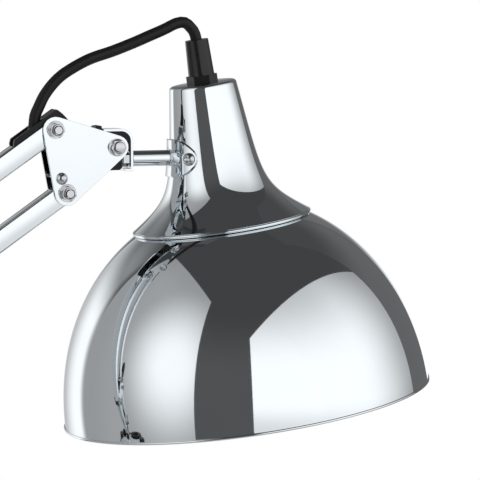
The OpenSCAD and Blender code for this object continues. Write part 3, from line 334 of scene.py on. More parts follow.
def makeFixingTree():
    # one pattern set on every point, each turned about its own axis by a seeded amount
    tree = newGeometryTree("fixingsOnPoints")
    addSocket(tree, "Pattern", "INPUT", "NodeSocketObject")
    addSocket(tree, "Tilt", "INPUT", "NodeSocketVector", (0, 0, 0))
    addSocket(tree, "Turn", "INPUT", "NodeSocketFloat", 0.5)
    addSocket(tree, "Seed", "INPUT", "NodeSocketInt", 3)
    given = nodeIn(tree, "NodeGroupInput")
    info = nodeIn(tree, "GeometryNodeObjectInfo", transform_space="ORIGINAL")
    points = nodeIn(tree, "GeometryNodeMeshToPoints")
    place = nodeIn(tree, "GeometryNodeInstanceOnPoints")
    turned = nodeIn(tree, "GeometryNodeRotateInstances")
    chance = nodeIn(tree, "FunctionNodeRandomValue", data_type="FLOAT")
    spin = nodeIn(tree, "ShaderNodeCombineXYZ")
    turned.inputs["Local Space"].default_value = True
    low = nodeIn(tree, "ShaderNodeMath", operation="MULTIPLY")
    low.inputs[1].default_value = -1
    link(tree, given.outputs["Pattern"], info.inputs["Object"])
    link(tree, given.outputs["Geometry"], points.inputs["Mesh"])
    link(tree, points.outputs[0], place.inputs["Points"])
    link(tree, info.outputs["Geometry"], place.inputs["Instance"])
    link(tree, given.outputs["Tilt"], place.inputs["Rotation"])
    link(tree, given.outputs["Turn"], low.inputs[0])
    link(tree, low.outputs[0], chance.inputs[2])
    link(tree, given.outputs["Turn"], chance.inputs[3])
    link(tree, given.outputs["Seed"], chance.inputs["Seed"])
    link(tree, chance.outputs[1], spin.inputs["Z"])
    link(tree, place.outputs[0], turned.inputs["Instances"])
    link(tree, spin.outputs[0], turned.inputs["Rotation"])
    return finishTree(tree, turned.outputs[0])


tubeTree = makeTubeTree()
fixingTree = makeFixingTree()


def runTree(name, mesh, tree, finish, values):
    # puts the tree on a throwaway object, and keeps what it makes as a plain mesh
    base = bpy.data.objects.new(name + "Base", mesh)
    bpy.context.scene.collection.objects.link(base)
    modifier = base.modifiers.new(tree.name, "NODES")
    modifier.node_group = tree
    values = dict(values, Material=materials[finish])
    for item in tree.interface.items_tree:
        if item.item_type == "SOCKET" and item.in_out == "INPUT" and item.name in values:
            modifier[item.identifier] = values[item.name]
    depsgraph = bpy.context.evaluated_depsgraph_get()
    made = bpy.data.meshes.new_from_object(base.evaluated_get(depsgraph), depsgraph=depsgraph)
    base.modifiers.remove(modifier)
    bpy.data.objects.remove(base)
    made.name = name
    return newObject(name, made, finish)


def tubeAlong(name, line, sides):
    mesh = bpy.data.meshes.new(name + "Line")
    mesh.from_pydata([tuple(p) for p in line], [(i, i + 1) for i in range(len(line) - 1)], [])
    return runTree(name, mesh, tubeTree, "cordJacket", {"Radius": cord["radius"], "Sides": sides})


# the cord's loops between the bodies, and its runs inside the bars
cord = {
    "radius": 2.9 * mm, "sides": 16, "coilSides": 12, "step": 2 * mm, "straightStep": 10 * mm,
    # the bend inside a bar's guide, in mm and degrees
    "bend": 24, "dive": 23.4, "exit": 55.5, "bendSteps": 4, "slack": 0.2,
}
gland = {"tip": 187, "hidden": (4, 12)}  # mm up the shade's axis, and how far below it the cord is guided
loopPoints = {
    "stem": [(0, 50), (0, 61), (-2.4, 67), (-8.2, 72), (-16, 76.2), (-24.5, 80.7), (-32, 86.3), (-36.8, 93),
             (-36.6, 100.3), (-32, 106), (-25, 108.4), (-18, 106.8)],
    "elbowLow": [(151, 197), (149, 206.5), (148.5, 215.5), (152, 222), (158, 225.2)],
    "elbowUp": [(158, 225.2), (165, 223.2), (169.3, 216.8), (171.8, 209.5), (177.2, 204.4)],
    "headLow": [(336.6, 309), (340, 315.6), (345.5, 322.3), (352, 327.3)],
    "headMid": [(352, 327.3), (363, 333), (375, 336.9), (386, 341)],
    "headTop": [(386, 341), (394, 344.3), (402, 347.6), (408.5, 350.6), (413, 351), (416.3, 348.3),
                (418.3, 345.2)],
}
loopBends = {
    # piece: (body it leaves, body it goes to, where its bend starts and ends, node it stands for)
    "stemLoop": ("turret", "lower_arm", (-4, 74), (8, 86), "stem_cord"),
    "elbowLoopLow": ("lower_arm", "elbow", (150.6, 192), (158, 225.2), None),
    "elbowLoopUp": ("elbow", "upper_arm", (158, 225.2), (181, 203), None),
    "headLoopLow": ("upper_arm", "head_bracket", (335.2, 305.6), (352, 327.3), None),
    "headLoopMid": ("head_bracket", "knuckle", (352, 327.3), (386, 341), "head_cord"),
    "headLoopTop": ("knuckle", "shade", (386, 341), (414, 351), "shade_cord"),
}


def guideBend(arm, atEnd):
    # from the bar's middle line up and out of the guide
    points = []
    for k in range(cord["bendSteps"] + 1):
        t = math.radians(cord["exit"] * k / cord["bendSteps"])
        x = cord["dive"] - cord["bend"] * math.sin(t)
        points.append(onBar(arm, linkage["reach"] - x if atEnd else x, cord["bend"] * (1 - math.cos(t))))
    return points


def splitLine(line, at):
    # cuts a line at its point nearest to the given one
    best = min(range(len(line)), key=lambda i: (line[i] - flat(*at)).length)
    return line[: best + 1], line[best:]


def loopLines():
    lower, upper, step = arms["lower"], arms["upper"], cord["step"]
    loops = {name: [flat(*p) for p in points] for name, points in loopPoints.items()}
    inside = [shadeRim + shadeAxis * (gland["tip"] - x) * mm for x in gland["hidden"]]
    elbow = catmull(guideBend(lower, True) + loops["elbowLow"][:-1] + loops["elbowUp"]
                    + guideBend(upper, False)[::-1], step)
    head = catmull(guideBend(upper, True) + loops["headLow"][:-1] + loops["headMid"][:-1] + loops["headTop"]
                   + inside, step)
    lines = {"stemLoop": catmull(loops["stem"] + guideBend(lower, False)[::-1], step)}
    lines["elbowLoopLow"], lines["elbowLoopUp"] = splitLine(elbow, loopPoints["elbowUp"][0])
    lines["headLoopLow"], rest = splitLine(head, loopPoints["headMid"][0])
    lines["headLoopMid"], lines["headLoopTop"] = splitLine(rest, loopPoints["headTop"][0])
    return lines


def makeLoops():
    for name, line in loopLines().items():
        first, second, start, end, node = loopBends[name]
        piece = tubeAlong(name, line, cord["sides"])
        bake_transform(piece)
        if node:
            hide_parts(node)
    # the straight runs hidden in the bars
    for key, arm in arms.items():
        reach = cord["dive"] + cord["slack"]
        run = [onBar(arm, reach, 0), onBar(arm, linkage["reach"] - reach, 0)]
        piece = tubeAlong(key + "BarCord", catmull(run, cord["straightStep"]), cord["sides"])
        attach(piece, key + "_arm")
        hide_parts(key + "_arm_cord")


makeLoops()

lead = {
    "near": [(-104.03, 72.84, 9), (-113, 79, 7.2), (-124, 84.5, 4.6), (-137, 86.5, 3.4), (-150, 85, 4.6),
             (-157, 84, 6.5), (-164.95, 84, 7)],
    "far": [(-227.05, 84, 7), (-233, 84, 6), (-239, 82, 4.6), (-250, 75, 3.4), (-257.5, 64, 3.2),
            (-260.5, 50, 3.2), (-260.5, 20, 3.4), (-260, -20, 3.8)],
    "tail": [(-209, -80, 10.2), (-199, -80, 9.4), (-187, -80, 7.8), (-176, -80, 7.4)],
    # two layers: the radius shrinks to the middle turn and grows again a pitch higher
    "coil": {"centre": (-216, -36), "radius": 44, "pitch": 6.5, "turns": 7.25, "low": 3.8, "climbTurns": 0.5,
             "perTurn": 40},
    # inside the base: a bend below the stem, then a run to the grommet as (distance, height)
    "hidden": {"azimuth": 145, "top": 16.8, "bend": (10, 9), "run": [(30, 7.9), (60, 8.4), (98, 9)],
               "step": 3 * mm},
}


def coilLine():
    coil = lead["coil"]
    half = coil["turns"] / 2
    line = []
    for k in range(round(coil["turns"] * coil["perTurn"]) + 1):
        t = k / coil["perTurn"]
        radius = coil["radius"] - coil["pitch"] * (half - abs(t - half))
        climb = max(0, min(1, (t - half) / coil["climbTurns"] + 0.5))
        turn = math.pi * (1 + 2 * t)
        x, y = coil["centre"][0] + radius * math.cos(turn), coil["centre"][1] + radius * math.sin(turn)
        line.append(Vector((x, y, coil["low"] + coil["pitch"] * climb)) * mm)
    return line


def hiddenLine():
    hidden = lead["hidden"]
    turn, (across, down) = math.radians(hidden["azimuth"]), hidden["bend"]
    quarter = [math.radians(t) for t in range(0, 91, 15)]
    bend = [(across * (1 - math.cos(t)), hidden["top"] - down * math.sin(t)) for t in quarter]
    line = [Vector((x * math.cos(turn), x * math.sin(turn), z)) * mm for x, z in bend + hidden["run"]]
    return catmull(line, hidden["step"])


def layCord(name, line, sides, *replaced):
    piece = tubeAlong(name, line, sides)
    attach(piece, "base")
    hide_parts(*replaced)
    return piece


def makeLead():
    step = cord["step"]
    near, far, tail = ([Vector(p) * mm for p in lead[key]] for key in ("near", "far", "tail"))
    near, coil = catmull(near, step), coilLine()
    line = catmull(far, step)[:-1] + coil[:-2] + catmull(coil[-2:] + tail, step)
    layCord("leadNear", near, cord["sides"], "lead_near")
    layCord("leadCoil", line, cord["coilSides"], "lead_far", "lead_coil")
    layCord("baseCord", hiddenLine(), cord["sides"], "base_cord")


# pieces carried over from CAD, with real edges
carried = {
    # node: (piece, body, finish, slot, bevel in mm, smoothing angle)
    "base_pad": ("basePad", "base", "feltPad", "felt", 0.5, 30),
    "stem_socket": ("stemSocket", "base", "chromePlate", "chrome", 0.25, 30),
    "lead_grommet": ("leadGrommet", "base", "blackRubber", "black_rubber", 0.3, 30),
    "switch_body": ("switchBody", "base", "mouldedBlack", "black_plastic", 1.2, 30),
    "switch_rocker": ("switchRocker", "rocker", "glossBlack", "rocker", 0.5, 30),
    "coil_tie": ("coilTie", "base", "blackRubber", "black_plastic", 0.3, 30),
    "plug_body": ("plugBody", "base", "blackRubber", "black_rubber", 1.2, 30),
    "plug_pins": ("plugPins", "base", "brassTurned", "brass", 0.3, 30),
    "turret_stem": ("turretStem", "turret", "chromePlate", "chrome", 0.2, 30),
    "turret_block": ("turretBlock", "turret", "mouldedBlack", "black_plastic", 0.4, 30),
    "turret_plate_near": ("turretPlateNear", "turret", "chromePlate", "chrome", 0.25, 30),
    "turret_plate_far": ("turretPlateFar", "turret", "chromePlate", "chrome", 0.25, 30),
    "turret_bolts": ("turretBolts", "turret", "zincPlate", "zinc", 0.2, 30),
    "tension_knob": ("tensionKnob", "knob", "mouldedBlack", "black_plastic", 0.8, 30),
    "lower_main_bar": ("lowerMainBar", "lower_arm", "chromePlate", "chrome", 0.1, 30),
    "lower_main_plugs": ("lowerMainPlugs", "lower_arm", "mouldedBlack", "black_plastic", 0.35, 30),
    "lower_link_bar": ("lowerLinkBar", "lower_link", "chromePlate", "chrome", 0.1, 30),
    "lower_link_plugs": ("lowerLinkPlugs", "lower_link", "mouldedBlack", "black_plastic", 0.35, 30),
    "elbow_plate_near": ("elbowPlateNear", "elbow", "chromePlate", "chrome", 0.25, 30),
    "elbow_plate_far": ("elbowPlateFar", "elbow", "chromePlate", "chrome", 0.25, 30),
    "elbow_bolts": ("elbowBolts", "elbow", "zincPlate", "zinc", 0.2, 30),
    "upper_main_bar": ("upperMainBar", "upper_arm", "chromePlate", "chrome", 0.1, 30),
    "upper_main_plugs": ("upperMainPlugs", "upper_arm", "mouldedBlack", "black_plastic", 0.35, 30),
    "upper_link_bar": ("upperLinkBar", "upper_link", "chromePlate", "chrome", 0.1, 30),
    "upper_link_plugs": ("upperLinkPlugs", "upper_link", "mouldedBlack", "black_plastic", 0.35, 30),
    "head_plate_near": ("headPlateNear", "head_bracket", "chromePlate", "chrome", 0.25, 30),
    "head_plate_far": ("headPlateFar", "head_bracket", "chromePlate", "chrome", 0.25, 30),
    "head_bolts": ("headBolts", "head_bracket", "zincPlate", "zinc", 0.2, 30),
    "stop_screw": ("stopScrew", "head_bracket", "zincPlate", "zinc", 0.1, 35),
    "tilt_bolt": ("tiltBolt", "head_bracket", "zincPlate", "zinc", 0.75, 30),
    "knuckle_block": ("knuckleBlock", "knuckle", "mouldedBlack", "black_plastic", 0.4, 30),
    "knuckle_strap": ("knuckleStrap", "knuckle", "chromePlate", "chrome", 0.15, 35),
    "swivel_shaft": ("swivelShaft", "shade", "chromePlate", "chrome", 0.25, 30),
    "saddle": ("saddleClip", "shade", "chromePlate", "chrome", 0.0, 35),
    "saddle_screws": ("saddleScrews", "shade", "zincPlate", "zinc", 0.1, 35),
    "cord_gland": ("cordGland", "shade", "glandBlack", "gland", 0.3, 30),
    "lampholder": ("lampHolder", "shade", "glossBlack", "holder", 0.4, 30),
    "shade_ring": ("shadeRing", "shade", "glossBlack", "holder", 0.4, 30),
}
hiddenInside = {
    "base_weight": "castIron", "socket_nut": "zincPlate", "stem_nut": "zincPlate",
    "thrust_washer": "nylonWhite", "nipple": "brassTurned", "shaft_nut": "zincPlate",
}
weld = {"distance": 1e-6, "flatAngle": 0.6}
rounding = {"segments": 2, "margin": 5}  # edges sharper than the smoothing angle and this margin are rounded


def carryOver(node, name, body, finish, slot, bevel, angle):
    shape = bmesh.new()
    shape.from_mesh(nodes[node].data)
    bmesh.ops.remove_doubles(shape, verts=shape.verts, dist=weld["distance"])
    bmesh.ops.dissolve_limit(shape, angle_limit=math.radians(weld["flatAngle"]), verts=shape.verts,
                             edges=shape.edges)
    mesh = bpy.data.meshes.new(name)
    shape.to_mesh(mesh)
    shape.free()
    smoothByAngle(mesh, angle)
    piece = newObject(name, mesh, finish)
    if bevel:
        # the rounded edges take the bend, so that flat faces stay flat in a reflection
        edge = piece.modifiers.new("edges", "BEVEL")
        edge.width, edge.segments, edge.limit_method = bevel * mm, rounding["segments"], "ANGLE"
        edge.angle_limit = math.radians(angle + rounding["margin"])
        edge.use_clamp_overlap = True
        edge.harden_normals = True
        depsgraph = bpy.context.evaluated_depsgraph_get()
        rounded = bpy.data.meshes.new_from_object(piece.evaluated_get(depsgraph), depsgraph=depsgraph)
        piece.modifiers.remove(edge)
        piece.data = rounded
    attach(piece, body)
    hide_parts(node)


for node, words in carried.items():
    carryOver(node, *words)
for node, finish in hiddenInside.items():
    nodes[node].data.materials.clear()
    nodes[node].data.materials.append(materials[finish])
makeLead()
print("carried pieces:", len(carried))


# pieces turned round an axis, from an outline
def bezier(points, count):
    # a smooth line from the first to the last of four points, pulled by the two between
    line = []
    for k in range(count + 1):
        t, u = k / count, 1 - k / count
        weights = (u ** 3, 3 * u * u * t, 3 * u * t * t, t ** 3)
        line.append(tuple(sum(w * v for w, v in zip(weights, values)) for values in zip(*points)))
    return line


def offsetLine(line, gap):
    # the line moved inwards by a wall's thickness
    moved = []
    for i, (r, s) in enumerate(line):
        a, b = line[max(i - 1, 0)], line[min(i + 1, len(line) - 1)]
        way = Vector((b[0] - a[0], b[1] - a[1])).normalized()
        moved.append((r - way.y * gap, s + way.x * gap))
    return moved


def arcLine(r, s, size, start, end, count):
    turns = [math.radians(start + (end - start) * k / count) for k in range(count + 1)]
    return [(r + size * math.cos(t), s + size * math.sin(t)) for t in turns]


def spun(name, outline, body, finish, place, sides, angle=30, closed=True):
    # turns an outline of (radius, height) in mm round the piece's axis
    verts, faces, rings = [], [], []
    for r, s in outline:
        if r < 1e-6:  # a point on the axis
            rings.append([len(verts)])
            verts.append(Vector((0, 0, s * mm)))
        else:
            rings.append(list(range(len(verts), len(verts) + sides)))
            for k in range(sides):
                t = 2 * math.pi * k / sides
                verts.append(Vector((r * mm * math.cos(t), r * mm * math.sin(t), s * mm)))
    pairs = list(zip(rings, rings[1:] + rings[:1])) if closed else list(zip(rings, rings[1:]))
    for a, b in pairs:
        if len(a) == 1 and len(b) == 1:
            continue
        for k in range(sides):
            m = (k + 1) % sides
            if len(a) == 1:
                faces.append((a[0], b[m], b[k]))
            elif len(b) == 1:
                faces.append((a[k], a[m], b[0]))
            else:
                faces.append((a[k], a[m], b[m], b[k]))
    piece = newObject(name, closedMesh(name, [place @ v for v in verts], faces, angle), finish)
    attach(piece, body)
    return piece


shadePlace = Matrix.Translation(shadeRim) @ shadeTurn
shade = {
    # dome; an arc is its first and last angle and its steps
    "rim": 94, "height": 94, "top": 42, "rimLean": 1.2, "sidePull": 42.6, "crownPull": 35.6,
    "crownSlope": 29.8, "hole": 19.8, "wall": 0.8, "bead": 0.7, "beadArc": (80, -260, 26), "domeSides": 192,
    # neck
    "seat": 0.6, "foot": 45, "footPull": 27, "footSlope": 35, "neckTop": 165, "neckRadius": 17.3,
    "neckPull": 51, "taper": 7.8, "corner": 2, "cornerArc": (15, 90, 6), "cordHole": 5.1,
    "lip": 0.85, "lipHeight": 93.55, "lipArc": (0, 340, 18), "neckSides": 160,
    "curveSteps": 60, "ringSmooth": 60,
}


def makeDome():
    size, wall = shade, shade["wall"]
    crown = leanOf(90 - size["crownSlope"], size["crownPull"])
    dome = bezier([(size["rim"], 0), (size["rim"] - size["rimLean"], size["sidePull"]),
                   (size["top"] - crown.x, size["height"] - crown.y),
                   (size["top"], size["height"])], size["curveSteps"])
    hole = [(size["hole"], size["height"]), (size["hole"], size["height"] - wall)]
    outline = dome + hole + offsetLine(dome, wall)[:0:-1] + [(size["rim"] - wall, 0)]
    bell = spun("shadeBell", outline, "shade", "chromePlate", shadePlace, size["domeSides"])
    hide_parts("shade_bell")
    bead = arcLine(size["rim"], 0, size["bead"], *size["beadArc"])
    spun("rimBead", bead, "shade", "chromePlate", shadePlace, size["domeSides"], size["ringSmooth"])


def makeNeck():
    size, wall = shade, shade["wall"]
    low, high = size["height"] + size["seat"], size["neckTop"] - size["corner"]
    foot, taper = alongOf(size["footSlope"], size["footPull"]), leanOf(size["taper"], size["neckPull"])
    neck = bezier([(size["foot"], low), (size["foot"] - foot.x, low + foot.y),
                   (size["neckRadius"] - taper.x, high - taper.y),
                   (size["neckRadius"], high)], size["curveSteps"])
    corner, insideCorner = (arcLine(size["neckRadius"] - size["corner"], high, radius, *size["cornerArc"])
                            for radius in (size["corner"], size["corner"] - wall))
    hole = [(size["cordHole"], size["neckTop"]), (size["cordHole"], size["neckTop"] - wall)]
    outline = neck + corner + hole + insideCorner[::-1] + offsetLine(neck, wall)[::-1]
    piece = spun("shadeNeck", outline, "shade", "chromePlate", shadePlace, size["neckSides"])
    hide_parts("shade_neck")
    lip = arcLine(size["foot"], size["lipHeight"], size["lip"], *size["lipArc"])
    spun("neckLip", lip, "shade", "chromePlate", shadePlace, size["neckSides"], size["ringSmooth"])


bulbShape = {
    "bottom": 22, "middle": 44.5, "globe": 22.5, "globeArc": (-89.9, 48, 30), "collar": (13.5, 70),
    "cap": 13.2, "capFoot": 72, "capTop": 94, "contact": (5, 99),
    "threadFoot": 74, "threadDepth": 0.5, "threadStep": 0.6, "threadSteps": 30, "stepsPerTurn": 6,
    "sides": 72, "smooth": 35,
}


def makeBulb():
    # opal glass, with a screw cap
    size = bulbShape
    globe = arcLine(0, size["middle"], size["globe"], *size["globeArc"])
    thread = []
    for k in range(size["threadSteps"] + 1):
        dip = size["threadDepth"] * (1 - math.cos(2 * math.pi * k / size["stepsPerTurn"])) / 2
        thread.append((size["cap"] - dip, size["threadFoot"] + k * size["threadStep"]))
    outline = [(0, size["bottom"])] + globe + [size["collar"], (size["cap"], size["capFoot"])] + thread
    outline += [(size["cap"], size["capTop"]), size["contact"], (0, size["contact"][1])]
    bulb = spun("bulb", outline, "shade", "opalGlass", shadePlace, size["sides"],
                size["smooth"], closed=False)
    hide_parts("bulb")


baseShape = {
    "radius": 100, "foot": 1.5, "sideTop": 14, "edge": 9, "edgeArc": (8, 82, 10), "top": 30, "wall": 0.8,
    "swell": (63.7, 3), "flat": (32, 16), "hole": 9.6, "riseSteps": 28, "sides": 160,
}


def makeBaseCover():
    size = baseShape
    shoulder, edgeTop = size["radius"] - size["edge"], size["sideTop"] + size["edge"]

    def side(t):
        # the cover's side, edge and rise, a wall's thickness t further in
        r, top = size["radius"] - t, size["top"] - t
        edge = arcLine(shoulder, size["sideTop"], size["edge"] - t, *size["edgeArc"])
        rise = bezier([(shoulder, edgeTop - t), (size["swell"][0], edgeTop + size["swell"][1] - t),
                       (size["flat"][0], top), (size["flat"][1], top)], size["riseSteps"])
        return [(r, size["foot"]), (r, size["sideTop"])] + edge + rise

    hole = [(size["hole"], size["top"]), (size["hole"], size["top"] - size["wall"])]
    outline = side(0) + hole + side(size["wall"])[::-1]
    cover = spun("baseCover", outline, "base", "chromePlate", Matrix.Identity(4), size["sides"])
    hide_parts("base_cover")


tiltCap = {
    "radius": 3.3, "root": 3.8, "foot": 4.1, "side": 0.6, "top": 5.2, "crownShare": 0.6, "steps": 12,
    "sides": 48, "smooth": 40,
}


def makeTiltCap():
    # the domed end of the tilt bolt's head
    size, tilt = tiltCap, pivots["tilt"]
    middle = Vector((tilt.x, -linkage["plateFace"], tilt.y)) * mm
    place = Matrix.Translation(middle) @ Matrix.Rotation(math.radians(90), 4, "X")
    dome = bezier([(size["radius"], size["foot"]), (size["radius"], size["foot"] + size["side"]),
                   (size["radius"] * size["crownShare"], size["top"]), (0, size["top"])], size["steps"])
    outline = [(0, size["root"]), (size["radius"], size["root"])] + dome
    spun("tiltCap", outline, "head_bracket", "zincPlate", place, size["sides"], size["smooth"],
         closed=False)


makeDome()
makeNeck()
makeBulb()
makeBaseCover()
makeTiltCap()
print("spun pieces made")


nutShapes = {
    # sizes in mm; the collar is the raised ring that holds a nylon insert
    "lockNut": {"flats": 7, "height": 3.2, "bore": 2.35, "washer": 4.5, "washerHeight": 0.8, "collar": 3,
                "collarHeight": 1.8},
    "plainNut": {"flats": 5.5, "height": 2.3, "bore": 1.55, "washer": 3.1, "washerHeight": 0.26,
                 "collar": None},
}
nutEdges = {
    "lift": 0.02, "seam": 0.03, "soft": 0.15, "fillet": 0.1, "roll": 0.5, "countersink": 0.3, "chamfer": 0.48,
    "slope": 30, "sides": 48, "smooth": 25,
}
nutTurn = {"seed": 3, "turn": 0.5}


def makeNutPattern(name):
    # a nut on its washer, standing on z = 0 and pointing along +Z
    nut, edges = nutShapes[name], nutEdges
    lift, soft, sides = edges["lift"], edges["soft"], edges["sides"]
    fillet, roll = edges["fillet"], edges["roll"]
    washer, bore, collar = nut["washer"], nut["bore"], nut["collar"]
    low, high = nut["washerHeight"], nut["washerHeight"] + nut["height"]
    foot, chamfer = low + edges["seam"], nut["flats"] * edges["chamfer"]
    edge = min(soft, low / 3)
    turns = [2 * math.pi * k / sides for k in range(sides)]

    def hexRadius(t):
        return nut["flats"] / 2 / math.cos((t + math.pi / 6) % (math.pi / 3) - math.pi / 6)

    def cut(t):
        return max(0, hexRadius(t) - chamfer - soft) * math.tan(math.radians(edges["slope"]))

    def roundRing(r, z):
        return [(r * math.cos(t), r * math.sin(t), z) for t in turns]

    def hexRing(z, side):
        return [(hexRadius(t) * math.cos(t), hexRadius(t) * math.sin(t), z + side * cut(t)) for t in turns]

    def shoulderRing(z):
        radii = [min(hexRadius(t), chamfer + soft) for t in turns]
        return [(r * math.cos(t), r * math.sin(t), z) for r, t in zip(radii, turns)]

    rings = [
        roundRing(bore, lift), roundRing(washer - edge, lift), roundRing(washer, lift + edge),
        roundRing(washer, low - edge), roundRing(washer - edge, low), roundRing(chamfer, low),
        shoulderRing(foot), hexRing(foot, 1), hexRing(high, -1), shoulderRing(high),
    ]
    if collar:
        top = high + nut["collarHeight"]
        rings += [
            roundRing(collar + fillet, high), roundRing(collar, high + fillet), roundRing(collar, top - roll),
            roundRing(collar - soft, top - soft), roundRing(collar - roll, top),
            roundRing(bore + fillet, top), roundRing(bore, high),
        ]
    else:
        rings += [roundRing(bore + edges["countersink"], high), roundRing(bore, high - edges["countersink"])]
    verts = [Vector(p) * mm for ring in rings for p in ring]
    faces = []
    for i in range(len(rings)):
        for k in range(sides):
            a, b, m = i * sides, (i + 1) % len(rings) * sides, (k + 1) % sides
            faces.append((a + k, a + m, b + m, b + k))
    return newObject(name, closedMesh(name, verts, faces, edges["smooth"]), "zincPlate")


nutPlaces = {
    # piece: (body, node it stands for, shape, side of the middle plane, places)
    "headNuts": ("head_bracket", "head_nuts", "lockNut", -1, [pivots["headMain"], pivots["headLink"]]),
    "elbowNuts": ("elbow", "elbow_nuts", "lockNut", -1, [pivots["elbowLowMain"], pivots["elbowLowLink"],
                                                         pivots["elbowUpLink"], pivots["elbowUpMain"]]),
    "turretNuts": ("turret", "turret_nuts", "lockNut", -1, [pivots["lowMain"]]),
    "blockNuts": ("turret", None, "plainNut", 1, [(-7.6, 54.5), (7.6, 54.5)]),
}


def makeNuts():
    patterns = {name: makeNutPattern(name) for name in nutShapes}
    for name, (body, node, shape, side, places) in nutPlaces.items():
        mesh = bpy.data.meshes.new(name + "Points")
        mesh.from_pydata([(x * mm, side * linkage["plateFace"] * mm, z * mm) for x, z in places], [], [])
        values = {"Pattern": patterns[shape], "Tilt": (math.radians(-90 * side), 0, 0),
                  "Turn": nutTurn["turn"], "Seed": nutTurn["seed"]}
        piece = runTree(name, mesh, fixingTree, "zincPlate", values)
        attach(piece, body)
        if node:
            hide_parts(node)
    for pattern in patterns.values():
        bpy.data.objects.remove(pattern)


makeNuts()
print("nuts made")


# each card's light follows the direction in which the dome sees it, in degrees
studio = {
    "room": {"half": 3.4, "low": -2.2, "high": 6.5},
    "cards": {
        # name: azimuth, distance, left, right, top and bottom as shares of the distance
        "softboxLeft": (-86.5, 1.3, -0.97, 0.97, 1.84, -0.5),
        "softboxRight": (133, 1.3, -1.80, 1.80, 1.43, -0.5),
        "backdropLeft": (0, 1.7, -0.90, 0.0, 3.6, -0.5),
        "backdropRight": (0, 1.7, 0.0, 0.78, 3.6, -0.5),
        "sideWall": (54, 2.4, -0.28, 0.32, 2.4, -0.5),
    },
    "levels": {
        # name: base, then (measure, from, to, share kept at the far end)
        "softboxLeft": (1.16, (("hot", 6, 40, 0.36), ("rise", 46, 62, 0.86), ("azimuth", -78, -50, 0.9))),
        "softboxRight": (1.24, (("azimuth", 122, 66, 0.36), ("rise", 16, 62, 0.48), ("rise", 4, -8, 0.7))),
        "backdropLeft": (1.2, (("azimuth", -31, -2, 0.47), ("rise", 11, 29, 0.25), ("rise", 30, 48, 0.3),
                               ("azimuth", -35, -42, 0.35))),
        "backdropRight": (1.12, (("azimuth", 16, 0, 0.5), ("rise", -3, 15, 0.15), ("rise", 22, 50, 0.6))),
        "sideWall": (0.145, (("rise", 25, 50, 0.5), ("azimuth", 42, 34, 0.8))),
        "dimRoom": (0.10, (("rise", 15, 50, 0.62),)),
    },
    "hot": (-114.5, 16.5),  # azimuth and rise of the brightest spot
    "wrap": (-140, 220),  # azimuths are counted between these
}


def cardMaterial(name):
    base, steps = studio["levels"][name]
    made = bpy.data.materials.new(name + "Light")
    made.use_nodes = True
    tree = made.node_tree
    tree.nodes.clear()
    out = nodeIn(tree, "ShaderNodeOutputMaterial")
    light = nodeIn(tree, "ShaderNodeEmission")
    link(tree, light.outputs[0], out.inputs["Surface"])
    place = nodeIn(tree, "ShaderNodeTexCoord")
    away = nodeIn(tree, "ShaderNodeVectorMath", operation="SUBTRACT")
    away.inputs[1].default_value = shadeRim
    link(tree, place.outputs["Object"], away.inputs[0])
    unit = nodeIn(tree, "ShaderNodeVectorMath", operation="NORMALIZE")
    link(tree, away.outputs[0], unit.inputs[0])
    parts = nodeIn(tree, "ShaderNodeSeparateXYZ")
    link(tree, unit.outputs[0], parts.inputs[0])

    def measured(kind):
        if kind == "azimuth":
            turn = nodeIn(tree, "ShaderNodeMath", operation="ARCTAN2")
            link(tree, parts.outputs["X"], turn.inputs[0])
            link(tree, parts.outputs["Y"], turn.inputs[1])
            wrap = nodeIn(tree, "ShaderNodeMath", operation="WRAP")
            wrap.inputs[1].default_value = math.radians(studio["wrap"][1])
            wrap.inputs[2].default_value = math.radians(studio["wrap"][0])
            link(tree, turn.outputs[0], wrap.inputs[0])
            return wrap.outputs[0]
        if kind == "rise":
            rise = nodeIn(tree, "ShaderNodeMath", operation="ARCSINE")
            link(tree, parts.outputs["Z"], rise.inputs[0])
            return rise.outputs[0]
        turn, up = (math.radians(x) for x in studio["hot"])
        toward = nodeIn(tree, "ShaderNodeVectorMath", operation="DOT_PRODUCT")
        toward.inputs[1].default_value = (math.sin(turn) * math.cos(up), math.cos(turn) * math.cos(up),
                                          math.sin(up))
        link(tree, unit.outputs[0], toward.inputs[0])
        angle = nodeIn(tree, "ShaderNodeMath", operation="ARCCOSINE")
        link(tree, toward.outputs["Value"], angle.inputs[0])
        return angle.outputs[0]

    level = None
    for kind, first, last, kept in steps:
        fade = nodeIn(tree, "ShaderNodeMapRange", interpolation_type="SMOOTHSTEP")
        low, high = sorted((first, last))
        fade.inputs["From Min"].default_value = math.radians(low)
        fade.inputs["From Max"].default_value = math.radians(high)
        fade.inputs["To Min"].default_value = 1 if first < last else kept
        fade.inputs["To Max"].default_value = kept if first < last else 1
        link(tree, measured(kind), fade.inputs["Value"])
        times = nodeIn(tree, "ShaderNodeMath", operation="MULTIPLY")
        times.inputs[1].default_value = base
        link(tree, fade.outputs["Result"], times.inputs[0])
        if level is not None:
            link(tree, level, times.inputs[1])
        level = times.outputs[0]
    link(tree, level, light.inputs["Strength"])
    return made


def stageObject(name, verts, faces, material):
    mesh = bpy.data.meshes.new(name)
    mesh.from_pydata([tuple(v) for v in verts], [], faces)
    mesh.materials.append(material)
    made = bpy.data.objects.new(name, mesh)
    bpy.context.scene.collection.objects.link(made)
    return made


def onlyInReflections(card):
    card.visible_camera = card.visible_diffuse = card.visible_shadow = False
    card.visible_volume_scatter = False


